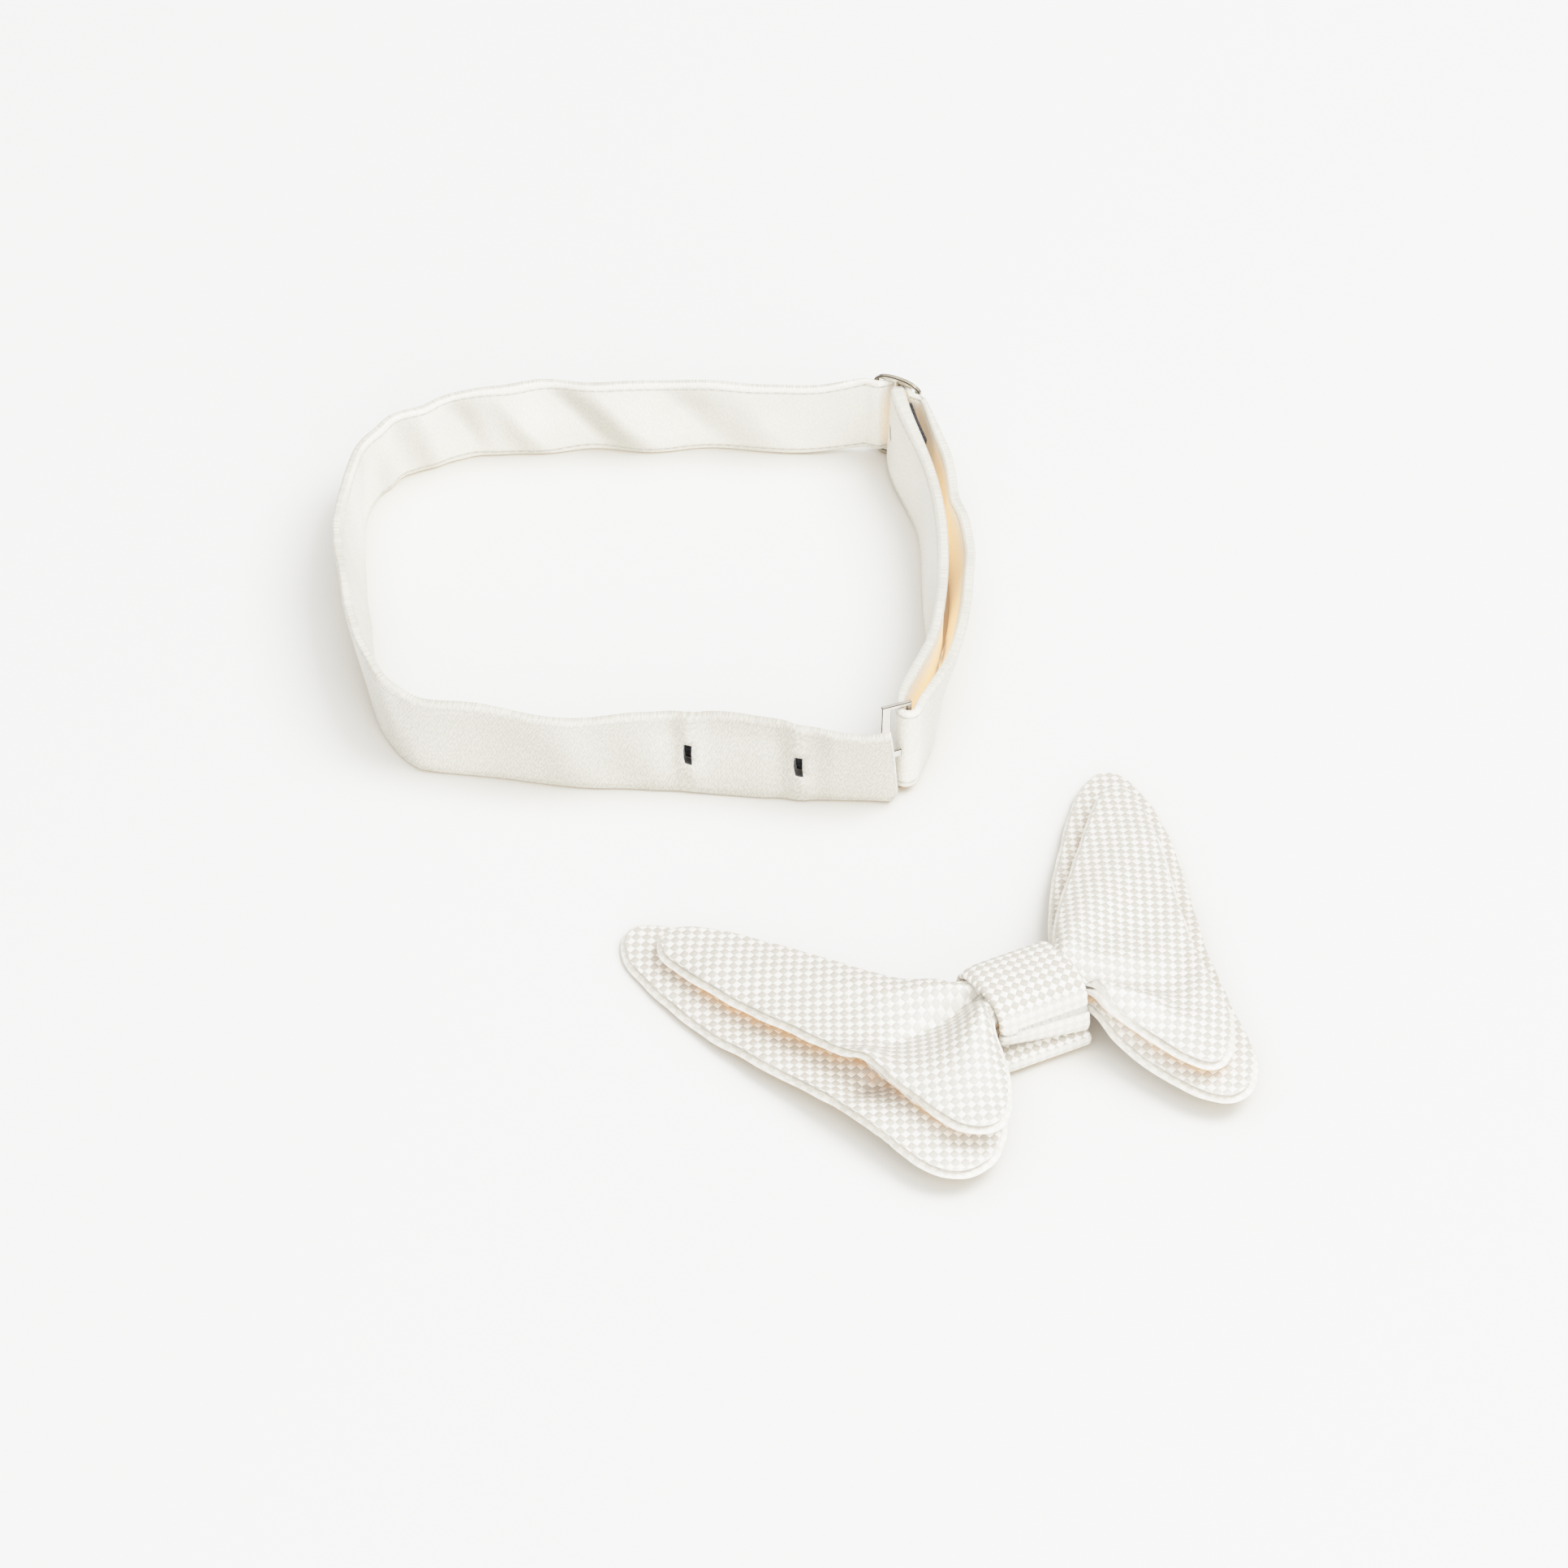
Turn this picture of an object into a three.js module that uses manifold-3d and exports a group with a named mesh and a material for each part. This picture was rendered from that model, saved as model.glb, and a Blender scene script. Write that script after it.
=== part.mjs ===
// Butterfly bow tie in two loose parts: an adjustable satin neck band that stands on its edge
// as a loop, and the woven bow that lies in front of it. Millimetres, +Z up.
// The places in the tables are measured on the surface, from one common point between the parts.
// At the end everything is moved so that the origin is under the middle of the whole tie.

import * as THREE from 'three';
import Module from 'manifold-3d';

const wasm = await Module();
wasm.setup();

// Neck band
const STRAP_WIDTH = 19;
const STRAP_THICKNESS = 2.2;
const STRAP_EDGE_CHAMFER = 0.5;
const STRAP_STEP = 5.5;
const PINCHED_THICKNESS = 1.3;
const FOLD_THICKNESS = 1.8;
const HEM_THICKNESS = 3.2;
// Heights of the rows of points across the band, as parts of its width, with the slit rows between.
const STRAP_ROWS = [0, 0.035, 0.36, 0.61, 0.965, 1];
const SLIT_ROW = 2;

// Size tape sewn behind the band
const TAPE_GAP = 0.3;
const TAPE_THICKNESS = 0.6;
const FRONT_TAPE_ENDS = [-29, 15];
const FRONT_TAPE_HEIGHTS = [0.24, 0.76];
const SIDE_TAPE_ENDS = [82, 96];
const SIDE_TAPE_HEIGHTS = [0.4, 0.93];

// Slider, a flat metal frame with a middle bar
const SLIDER_PLACE = new THREE.Vector2(23.8, 100.5);
const SLIDER_TURN = THREE.MathUtils.degToRad(-26.8);
const SLIDER_LENGTH = 10.8;
const SLIDER_HEIGHT = 22.6;
const SLIDER_PLATE = 1;
const SLIDER_BAR = 1.2;
const SLIDER_RAIL = 1.1;
const SLIDER_CORNER = 3;
const SLIDER_DIP = 0.5;
const SLIDER_DIP_HALF = 0.8;
const SLIDER_GAP = 0.3;
const SLIDER_LIFT = 1.45;

// Hook, a flat metal frame with a tongue, held in the fold of the band
const FOLD_BOTTOM = new THREE.Vector2(24.5, 0.6);
const FOLD_TOP = new THREE.Vector2(25, 2.4);
const FOLD_RADIUS = 1.8;
const FOLD_LIFT = 1.3;
const HOOK_PLATE = 0.8;
const HOOK_BAR = 1;
const HOOK_RAIL = 0.85;
const HOOK_LEFT_BAR = 2;
const HOOK_REACH = 6;
const HOOK_DIRECTION = new THREE.Vector2(-0.91, -0.41);
const HOOK_PLAY = 0.35;
const TONGUE_LOW = 8;
const TONGUE_HEIGHT = 4.4;
const TONGUE_ROOT = 5.4;
const TONGUE_OUT = 3;
const TONGUE_TIP = 2.6;
const TONGUE_PLATE = 0.6;
const TONGUE_BEND = 1;
const CURVE_SEGMENTS = 5;

// Bow
const BOW_PLACE = new THREE.Vector2(46.6, -70.4);
const BOW_TURN = THREE.MathUtils.degToRad(26);
const LAYER_THICKNESS = 3;
const LAYER_EDGE = 1.9;
const LAYER_ACROSS = 14;
const ROWS_BETWEEN = 2;
const PADDED_FROM_ROW = 5;
const KNOT_MIDDLE = new THREE.Vector2(1, 11.35);
const KNOT_HALF_WIDTH = 8.6;
const KNOT_HALF_HEIGHT = 6.15;
const KNOT_HALF_LENGTH = 9.55;
const KNOT_WALL = 1.4;
const KNOT_SLANT = -0.12;
const LOOP_MIDDLE = new THREE.Vector2(0.7, 2.45);
const LOOP_HALF_WIDTH = 9.7;
const LOOP_HALF_HEIGHT = 2.45;
const LOOP_HALF_LENGTH = 9.8;
const LOOP_WALL = 1.05;

// Materials
const satin = new THREE.MeshStandardMaterial({ color: 0xeeebe2, roughness: 0.45, metalness: 0 });
const weave = new THREE.MeshStandardMaterial({ color: 0xefede7, roughness: 0.6, metalness: 0 });
const tape = new THREE.MeshStandardMaterial({ color: 0x1b1c1e, roughness: 0.8, metalness: 0 });
const silver = new THREE.MeshStandardMaterial({ color: 0xc9c6c0, roughness: 0.25, metalness: 1 });

// Rows of the band from its free end round to the hem at the slider.
// Columns: bottom x, bottom y, top x, top y, then where they differ from the plain band the lift
// of the lower edge and the thickness.
const FRONT_ROWS = [
  [21.6, -4.1, 21.6, -6.3],
  [17, -3.5, 17, -5.9],
  [10.5, -3.4, 10.5, -5.3],
  [3.85, -3.4, 3.85, -3.9],
  [2.55, -3.3, 2.55, -3.5],
  [-4, -2.8, -4, -1.8],
  [-11, -1.9, -11, -0.7],
  [-18.55, -1.1, -18.5, 0.1],
  [-19.85, -0.9, -19.8, 0.4],
  [-30.5, -0.6, -30.3, 0.2],
  [-41, 0.3, -41, -1.1],
  [-48, 1.3, -48, -0.2],
  [-57, 2.9, -57, 2.4],
  [-66.5, 4, -66.7, 4.4],
];
// Rows of the front that the small slits follow.
const SLITS_AFTER = [3, 7];
const LEFT_ROWS = [
  [-73.2, 5.2, -73.8, 5.6],
  [-79, 12.4, -80.6, 12],
  [-82.2, 20.2, -85.3, 20.4],
  [-84, 30, -88, 31],
  [-85.6, 42.8, -90.4, 44],
  [-87.2, 54.6, -91.9, 56],
  [-87.9, 66, -91.5, 67],
  [-88.6, 74.5, -90, 75.6],
  [-87.4, 83.8, -88, 83],
];
const BACK_ROWS = [
  [-84.6, 90, -84.8, 88.4],
  [-80, 94.4, -79, 93.2],
  [-73.4, 98.2, -72, 96.9],
  [-64, 100.8, -62.6, 100.8],
  [-54.7, 102.1, -53.6, 102.3],
  [-43, 102.9, -44, 102.4],
  [-28.5, 102.6, -28.4, 101.7],
  [-15, 103.2, -14.4, 102.5],
  [-4.5, 102.7, -3.6, 101.4],
  [5, 101.8, 5, 100.8, 0.2, 2.1],
  [12, 102.1, 12, 101, 0.9, 1.8],
];
const OUTER_ROWS = [
  [31.1, 89.8, 31.3, 89, 0.7, 1.9],
  [32.5, 82, 33.1, 81.4, 0.2],
  [33.8, 72, 35.4, 71.4],
  [34.9, 62, 37.2, 62],
  [35.3, 52, 37.9, 52],
  [35.2, 40, 37.8, 40],
  [34, 29, 36.5, 28.8],
  [31.8, 18.6, 34, 18.8, 0.3],
  [29.6, 11, 31.4, 11.8, 0.8],
  [27.5, 5, 28.4, 6.4, 1.1, 2],
];
const INNER_ROWS = [
  [23, 5.4, 23.7, 7, 1.1, 2],
  [24.4, 14, 26.4, 14.2, 0.7],
  [26.4, 24, 30, 24, 0.2],
  [28.2, 35, 32, 35],
  [29, 46, 32.9, 46.5],
  [29.4, 58, 32.6, 58.5],
  [29.4, 68, 31.6, 68.5],
  [28.5, 77, 29.9, 77.6, 0.1],
  [26.2, 84, 27.9, 84.6, 0.5, 2.4],
  [23.9, 90, 25.9, 90.6, 1, 2.7],
  [23, 95.4, 24.5, 95.4, 1.3, 3],
  [23.2, 99.5, 23.8, 99.5, SLIDER_LIFT, HEM_THICKNESS],
];
// The band weaves inside one end bar of the slider, outside its middle bar and inside the other.
// Columns: place along the slider, offset outwards, in parts of the bar spacing and of the weave.
const WEAVE_DEPTH = SLIDER_PLATE / 2 + SLIDER_GAP + PINCHED_THICKNESS / 2;
const BAR_SPACING = (SLIDER_LENGTH - SLIDER_BAR) / 2;
const WEAVE_ROWS = [
  [-1.4, -1.05], [-1, -1], [-0.76, -0.86], [-0.49, 0.04], [-0.23, 0.88], [0, 1],
  [0.23, 0.88], [0.49, 0.04], [0.76, -0.86], [1, -1], [1.4, -1.02],
];
const FOLD_STEPS = 6;

// Rows of the two layers of the bow, from the middle of the knot out to the end of a wing.
// Columns: near edge u and v, far edge u and v, heights at the near edge, near lobe, valley,
// far lobe and far edge, place of the valley from near to far, outward bulge of the near half
// and of the far half, middle thickness where it differs from the plain layer.
const LOWER_WAIST = [[0, -4.1, 0, 6.1, 8.7, 8.9, 8.9, 8.9, 8.7, 0.5, 0, 0, 3.8]];
const LOWER_LEFT = [
  [-9.1, -4.2, -10.9, 6.2, 8.7, 8.9, 8.8, 8.9, 8.7, 0.5, 0, 0, 3.6],
  [-11.4, -12.5, -14.8, 12.6, 6.4, 9, 7.6, 8.6, 7.6, 0.6, 0, 0],
  [-14.6, -21.5, -21, 21.5, 5.4, 8.6, 6, 7.6, 6.2, 0.57, 0, 0],
  [-18.6, -28, -28, 30.4, 5, 8, 5, 6.2, 4.8, 0.52, 0, 0],
  [-23, -31.6, -36, 40.2, 4.9, 7.2, 4.4, 4.8, 3.6, 0.46, 0, 0],
  [-28, -32.6, -44.6, 50, 5, 6.7, 4.2, 3.6, 2.6, 0.42, 0, 0.3],
  [-32, -31.2, -51.6, 57, 5.2, 6.4, 4.2, 2.9, 1.9, 0.4, 0, 0.8],
  [-34.8, -28.4, -56.8, 59.2, 5.5, 6.4, 4.3, 2.5, 1.6, 0.4, 0, 1.4],
  [-36.8, -24, -60.2, 56, 5.7, 6.3, 4.3, 2.2, 1.4, 0.4, 0, 2],
  [-38.2, -18.4, -61.6, 50.4, 5.8, 6, 4.1, 1.9, 1.3, 0.4, 0, 2.6],
];
const LOWER_RIGHT = [
  [10.9, -4.2, 9.1, 6.2, 8.7, 8.9, 8.8, 8.9, 8.7, 0.5, 0, 0, 3.6],
  [12.6, -12.6, 13.2, 14, 6.8, 8.8, 7.6, 8.8, 7.8, 0.5, 0, 0],
  [14.4, -19, 18.4, 24, 6, 8.4, 6.4, 7.6, 5.8, 0.46, 0, 0],
  [17, -25.6, 24, 33, 5.5, 7.8, 5.6, 6.4, 4.4, 0.42, 0, 0],
  [20, -31.2, 30.5, 42, 5.3, 7.2, 5, 5, 3.2, 0.4, 0, 0],
  [23, -35.4, 36.6, 50, 5.2, 6.8, 4.8, 3.9, 2.3, 0.38, -0.3, 0.4],
  [26.8, -37.6, 41.6, 55.2, 5.2, 6.5, 4.6, 3.2, 1.8, 0.38, -0.7, 0.8],
  [31, -36.4, 46.2, 57.8, 5.2, 6.3, 4.6, 2.8, 1.5, 0.38, -1.1, 1.2],
  [34.4, -32.4, 49.8, 56.8, 5.3, 6.1, 4.6, 2.5, 1.4, 0.38, -1.5, 1.6],
  [36.4, -27.2, 51.8, 52.8, 5.4, 6, 4.5, 2.2, 1.3, 0.38, -1.9, 2],
  [37.3, -21, 52.2, 46.4, 5.4, 5.7, 4.3, 2, 1.3, 0.38, -2.3, 2.3],
];
const UPPER_WAIST = [[0, -4.4, 0, 6.4, 13, 13.5, 13.6, 13.5, 13, 0.5, 0, 0, 3.8]];
const UPPER_LEFT = [
  [-9.1, -4.5, -10.9, 6.5, 13, 13.6, 13.4, 13.6, 13, 0.6, 0, 0, 3.6],
  [-11, -11.6, -14.2, 8.8, 12.7, 15.6, 12.8, 14.6, 13.4, 0.62, 0, 0],
  [-12.9, -19.2, -20, 13.6, 12, 15.4, 11.4, 13.4, 12.2, 0.6, 0, 0],
  [-15.8, -25.4, -26.6, 22.8, 11.6, 14.6, 10.6, 12.2, 10.7, 0.54, 0, 0],
  [-19.6, -28.9, -33.8, 33, 11.4, 13.6, 10.2, 10.9, 9.2, 0.48, 0, 0],
  [-23.6, -28.6, -40.8, 42.6, 11.2, 12.8, 10, 9.7, 7.8, 0.44, 0, 0.3],
  [-26.7, -26, -47, 49, 11, 12.2, 10, 8.8, 6.8, 0.42, 0, 0.6],
  [-28.9, -22.2, -52, 51.4, 11, 11.9, 10, 8.2, 6.3, 0.42, 0, 0.9],
  [-30.3, -17.8, -55.4, 49.4, 11, 11.6, 10, 7.8, 6, 0.42, 0, 1.2],
  [-31.4, -12.6, -56.6, 45, 11, 11.2, 9.8, 7.6, 5.9, 0.42, 0, 1.5],
];
const UPPER_RIGHT = [
  [10.9, -4.5, 9.1, 6.5, 13, 13.6, 13.4, 13.6, 13, 0.5, 0, 0, 3.6],
  [12.8, -11, 13, 12.4, 12.4, 14.4, 12, 14.4, 13, 0.48, 0, 0],
  [15, -16, 18.4, 20, 11.6, 13.8, 11, 13.4, 11.2, 0.46, 0, 0],
  [17.8, -22.4, 25, 28, 11, 13, 10.4, 12, 9.7, 0.42, 0, 0],
  [20.4, -27.6, 31.8, 36.2, 10.6, 12.3, 10, 10.6, 8.4, 0.4, -0.3, 0],
  [23.2, -31.2, 38.2, 44, 10.3, 11.7, 9.8, 9.5, 7.3, 0.38, -0.6, 0],
  [26.6, -32.3, 42.8, 48, 10.1, 11.3, 9.7, 8.8, 6.6, 0.38, -1, 0.1],
  [30.2, -29.4, 46.2, 48.8, 10.1, 11.1, 9.7, 8.4, 6.2, 0.38, -1.4, 0.2],
  [33.2, -24.8, 47.9, 46.2, 10.2, 10.9, 9.7, 8.1, 6.1, 0.38, -1.8, 0.4],
  [35.2, -19.4, 48.1, 41, 10.2, 10.6, 9.6, 8, 6.3, 0.38, -2.2, 0.6],
];

// Builds one closed solid from two matching grids of points, the front skin and the back skin.
// The edges of the grids are joined, and so are the edges of each opening cut through both.
function shell(front, back, { ring = false, openings = [] } = {}) {
  const across = front[0].length;
  const points = [...front.flat(), ...back.flat()];
  const offset = front.length * across;
  const faces = [];
  const quad = (a, b, c, d) => faces.push(a, b, c, a, c, d);
  const at = (i, j) => i * across + (j % across);
  const spans = ring ? across : across - 1;
  const isOpen = (i, j) => openings.some(([oi, oj]) => oi === i && oj === j);
  for (let i = 0; i < front.length - 1; i += 1) {
    for (let j = 0; j < spans; j += 1) {
      const corners = [at(i, j), at(i + 1, j), at(i + 1, j + 1), at(i, j + 1)];
      const [a, b, c, d] = corners;
      if (isOpen(i, j)) {
        corners.forEach((p, k) => {
          const q = corners[(k + 1) % 4];
          quad(p, q, q + offset, p + offset);
        });
      } else {
        quad(a, b, c, d);
        quad(d + offset, c + offset, b + offset, a + offset);
      }
    }
    if (!ring) {
      quad(at(i + 1, 0), at(i, 0), at(i, 0) + offset, at(i + 1, 0) + offset);
      const j = across - 1;
      quad(at(i, j), at(i + 1, j), at(i + 1, j) + offset, at(i, j) + offset);
    }
  }
  const last = front.length - 1;
  for (let j = 0; j < spans; j += 1) {
    quad(at(0, j), at(0, j + 1), at(0, j + 1) + offset, at(0, j) + offset);
    quad(at(last, j + 1), at(last, j), at(last, j) + offset, at(last, j + 1) + offset);
  }
  const geometry = new THREE.BufferGeometry();
  geometry.setAttribute('position', new THREE.Float32BufferAttribute(points.flatMap((p) => p.toArray()), 3));
  geometry.setIndex(faces);
  geometry.computeVertexNormals();
  return geometry;
}

// Turns a geometry into a solid for joining and cutting, with its shared corners merged.
function toSolid(geometry) {
  const flat = geometry.index ? geometry.toNonIndexed() : geometry;
  const source = flat.getAttribute('position').array;
  const seen = new Map();
  const vertProperties = [];
  const triVerts = [];
  for (let k = 0; k < source.length; k += 3) {
    const corner = [source[k], source[k + 1], source[k + 2]];
    const key = corner.map((value) => Math.round(value * 1000)).join(' ');
    if (!seen.has(key)) {
      seen.set(key, seen.size);
      vertProperties.push(...corner);
    }
    triVerts.push(seen.get(key));
  }
  return new wasm.Manifold(
    new wasm.Mesh({
      numProp: 3,
      vertProperties: new Float32Array(vertProperties),
      triVerts: new Uint32Array(triVerts),
    }),
  );
}

function toGeometry(solid) {
  const mesh = solid.getMesh();
  const geometry = new THREE.BufferGeometry();
  geometry.setAttribute('position', new THREE.BufferAttribute(mesh.vertProperties.slice(), 3));
  geometry.setIndex(new THREE.BufferAttribute(mesh.triVerts.slice(), 1));
  geometry.computeVertexNormals();
  return geometry;
}

function pieceOf(name, geometry, material) {
  const mesh = new THREE.Mesh(geometry, material);
  mesh.name = name;
  return mesh;
}

// Slider places along (e) and out of (n) its plate, on the surface.
function onSlider(e, n) {
  const along = new THREE.Vector2(Math.cos(SLIDER_TURN), Math.sin(SLIDER_TURN));
  const out = new THREE.Vector2(-along.y, along.x);
  return SLIDER_PLACE.clone().addScaledVector(along, e).addScaledVector(out, n);
}

function weaveRows() {
  return WEAVE_ROWS.map(([e, n]) => {
    const p = onSlider(e * BAR_SPACING, n * WEAVE_DEPTH);
    return [p.x, p.y, p.x, p.y, SLIDER_LIFT, PINCHED_THICKNESS];
  });
}

// The band turns back round the bar of the hook in a half circle.
function foldRows() {
  const rows = [];
  for (let k = 0; k <= FOLD_STEPS; k += 1) {
    const angle = -Math.PI * (k / FOLD_STEPS);
    const turn = new THREE.Vector2(Math.cos(angle), Math.sin(angle)).multiplyScalar(FOLD_RADIUS);
    const low = FOLD_BOTTOM.clone().add(turn);
    const high = FOLD_TOP.clone().add(turn);
    rows.push([low.x, low.y, high.x, high.y, FOLD_LIFT, FOLD_THICKNESS]);
  }
  return rows;
}

// Stations of the band: the rows with more between them, smoothly joined.
function strapStations(rows) {
  const curve = (pick) => new THREE.CatmullRomCurve3(rows.map((row) => new THREE.Vector3(...pick(row))));
  const bottom = curve((r) => [r[0], r[1], 0]);
  const top = curve((r) => [r[2], r[3], 0]);
  const build = curve(([, , , , lift = 0, thickness = STRAP_THICKNESS]) => [lift, thickness, 0]);
  const stations = [];
  const add = (place, row) => {
    const t = place / (rows.length - 1);
    const low = bottom.getPoint(t);
    const high = top.getPoint(t);
    const { x: lift, y: thickness } = build.getPoint(t);
    stations.push({ row, low, high, lift, thickness, slit: SLITS_AFTER.includes(place) });
  };
  for (let row = 0; row < rows.length - 1; row += 1) {
    const length = Math.hypot(rows[row + 1][0] - rows[row][0], rows[row + 1][1] - rows[row][1]);
    const parts = Math.max(1, Math.round(length / STRAP_STEP));
    for (let k = 0; k < parts; k += 1) {
      add(row + k / parts, row);
    }
  }
  add(rows.length - 1, rows.length - 1);
  stations.forEach((station, i) => {
    const before = stations[Math.max(0, i - 1)];
    const after = stations[Math.min(stations.length - 1, i + 1)];
    const step = (a, b) => new THREE.Vector3().subVectors(b, a).normalize();
    const out = (v) => new THREE.Vector3(-v.y, v.x, 0);
    station.lowOut = out(step(before.low, after.low));
    station.highOut = out(step(before.high, after.high));
  });
  return stations;
}

// A point of the band: part of the width up from its lower edge, and an offset out of its middle.
function strapPoint(station, up, offset) {
  const point = new THREE.Vector3().lerpVectors(station.low, station.high, up);
  point.addScaledVector(new THREE.Vector3().lerpVectors(station.lowOut, station.highOut, up), offset);
  point.z = station.lift + up * STRAP_WIDTH;
  return point;
}

function strapSkin(stations, side) {
  return stations.map((station) =>
    STRAP_ROWS.map((up, j) => {
      const isEdge = j === 0 || j === STRAP_ROWS.length - 1;
      const half = station.thickness / 2 - (isEdge ? STRAP_EDGE_CHAMFER : 0);
      return strapPoint(station, up, side * half);
    }),
  );
}

function makeStrap(stations) {
  const openings = [];
  stations.forEach((station, i) => {
    if (station.slit) {
      openings.push([i, SLIT_ROW]);
    }
  });
  const geometry = shell(strapSkin(stations, -1), strapSkin(stations, 1), { openings });
  return pieceOf('neck_strap', geometry, satin);
}

// A plain tape on the inner side of the band, over some of its stations.
function makeTape(name, stations, heights) {
  const skin = (depth) =>
    stations.map((station) =>
      heights.map((up) => strapPoint(station, up, -(station.thickness / 2 + TAPE_GAP + depth))),
    );
  return pieceOf(name, shell(skin(TAPE_THICKNESS), skin(0)), tape);
}

// The slider's outline has two humps over the bar in the middle, above and below.
function makeSlider() {
  const half = SLIDER_LENGTH / 2;
  const tall = SLIDER_HEIGHT / 2;
  const flank = half - SLIDER_CORNER;
  const shoulder = tall - SLIDER_CORNER;
  const outline = new THREE.Shape();
  outline.moveTo(-half, -shoulder);
  outline.quadraticCurveTo(-half, -tall, -flank, -tall);
  outline.quadraticCurveTo(-SLIDER_DIP_HALF, -tall, 0, -tall + SLIDER_DIP);
  outline.quadraticCurveTo(SLIDER_DIP_HALF, -tall, flank, -tall);
  outline.quadraticCurveTo(half, -tall, half, -shoulder);
  outline.lineTo(half, shoulder);
  outline.quadraticCurveTo(half, tall, flank, tall);
  outline.quadraticCurveTo(SLIDER_DIP_HALF, tall, 0, tall - SLIDER_DIP);
  outline.quadraticCurveTo(-SLIDER_DIP_HALF, tall, -flank, tall);
  outline.quadraticCurveTo(-half, tall, -half, shoulder);
  const plate = new THREE.ExtrudeGeometry(outline, {
    depth: SLIDER_PLATE,
    bevelEnabled: false,
    curveSegments: CURVE_SEGMENTS,
  });
  plate.translate(0, 0, -SLIDER_PLATE / 2);
  const open = (SLIDER_LENGTH - 3 * SLIDER_BAR) / 2;
  let frame = toSolid(plate);
  [-1, 1].forEach((side) => {
    const gap = new THREE.BoxGeometry(open, SLIDER_HEIGHT - 2 * SLIDER_RAIL, 2 * SLIDER_PLATE);
    gap.translate((side * (SLIDER_BAR + open)) / 2, 0, 0);
    frame = frame.subtract(toSolid(gap));
  });
  const geometry = toGeometry(frame);
  geometry.rotateX(Math.PI / 2);
  geometry.rotateZ(SLIDER_TURN);
  geometry.translate(SLIDER_PLACE.x, SLIDER_PLACE.y, SLIDER_HEIGHT / 2);
  return pieceOf('slider', geometry, silver);
}

// The hook's frame stands in the fold, and its tongue bends out towards the free end of the band.
function makeHook() {
  const low = -HOOK_PLAY - HOOK_RAIL;
  const high = STRAP_WIDTH + HOOK_PLAY + HOOK_RAIL;
  const frame = new THREE.Shape();
  frame.moveTo(-HOOK_BAR / 2, low);
  frame.lineTo(HOOK_REACH, low);
  frame.lineTo(HOOK_REACH, high);
  frame.lineTo(-HOOK_BAR / 2, high);
  const gap = new THREE.Path();
  gap.moveTo(HOOK_BAR / 2, low + HOOK_RAIL);
  gap.lineTo(HOOK_REACH - HOOK_LEFT_BAR, low + HOOK_RAIL);
  gap.lineTo(HOOK_REACH - HOOK_LEFT_BAR, high - HOOK_RAIL);
  gap.lineTo(HOOK_BAR / 2, high - HOOK_RAIL);
  frame.holes.push(gap);
  const plate = new THREE.ExtrudeGeometry(frame, { depth: HOOK_PLATE, bevelEnabled: false });
  plate.translate(0, 0, -HOOK_PLATE / 2);
  plate.rotateX(Math.PI / 2);

  const inside = TONGUE_OUT - TONGUE_PLATE;
  const root = TONGUE_ROOT - TONGUE_PLATE;
  const bend = new THREE.Shape();
  bend.moveTo(TONGUE_ROOT, 0);
  bend.lineTo(TONGUE_ROOT, TONGUE_OUT - TONGUE_BEND);
  bend.quadraticCurveTo(TONGUE_ROOT, TONGUE_OUT, TONGUE_ROOT - TONGUE_BEND, TONGUE_OUT);
  bend.lineTo(TONGUE_TIP, TONGUE_OUT);
  bend.lineTo(TONGUE_TIP, inside);
  bend.lineTo(TONGUE_ROOT - TONGUE_BEND, inside);
  bend.quadraticCurveTo(root, inside, root, TONGUE_OUT - TONGUE_BEND);
  bend.lineTo(root, 0);
  const tongue = new THREE.ExtrudeGeometry(bend, {
    depth: TONGUE_HEIGHT,
    bevelEnabled: false,
    curveSegments: CURVE_SEGMENTS,
  });
  tongue.translate(0, 0, TONGUE_LOW);

  const upright = new THREE.Vector3(
    FOLD_TOP.x - FOLD_BOTTOM.x,
    FOLD_TOP.y - FOLD_BOTTOM.y,
    STRAP_WIDTH,
  ).normalize();
  const reach = new THREE.Vector3(HOOK_DIRECTION.x, HOOK_DIRECTION.y, 0);
  reach.addScaledVector(upright, -reach.dot(upright)).normalize();
  const face = new THREE.Vector3().crossVectors(upright, reach);
  const stand = new THREE.Matrix4().makeBasis(reach, face, upright);
  stand.setPosition(FOLD_BOTTOM.x, FOLD_BOTTOM.y, FOLD_LIFT);
  const geometry = toGeometry(toSolid(plate).add(toSolid(tongue)));
  geometry.applyMatrix4(stand);
  return pieceOf('hook', geometry, silver);
}

// Smooth height between named heights across a wing, flat at each of them.
function acrossHeight(row, t) {
  const valley = row[9];
  const places = [0, valley / 2, valley, (1 + valley) / 2, 1];
  let k = 0;
  while (k < places.length - 2 && t > places[k + 1]) {
    k += 1;
  }
  const part = (t - places[k]) / (places[k + 1] - places[k]);
  return THREE.MathUtils.lerp(row[4 + k], row[5 + k], THREE.MathUtils.smoothstep(part, 0, 1));
}

// More rows between the named ones, smoothly joined.
function finerRows(rows) {
  const columns = rows[0].map((value, c) => c);
  const curves = columns.map((c) => new THREE.SplineCurve(rows.map((row, i) => new THREE.Vector2(i, row[c]))));
  const count = (rows.length - 1) * ROWS_BETWEEN;
  return Array.from({ length: count + 1 }, (_, i) => curves.map((curve) => curve.getPoint(i / count).y));
}

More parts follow.
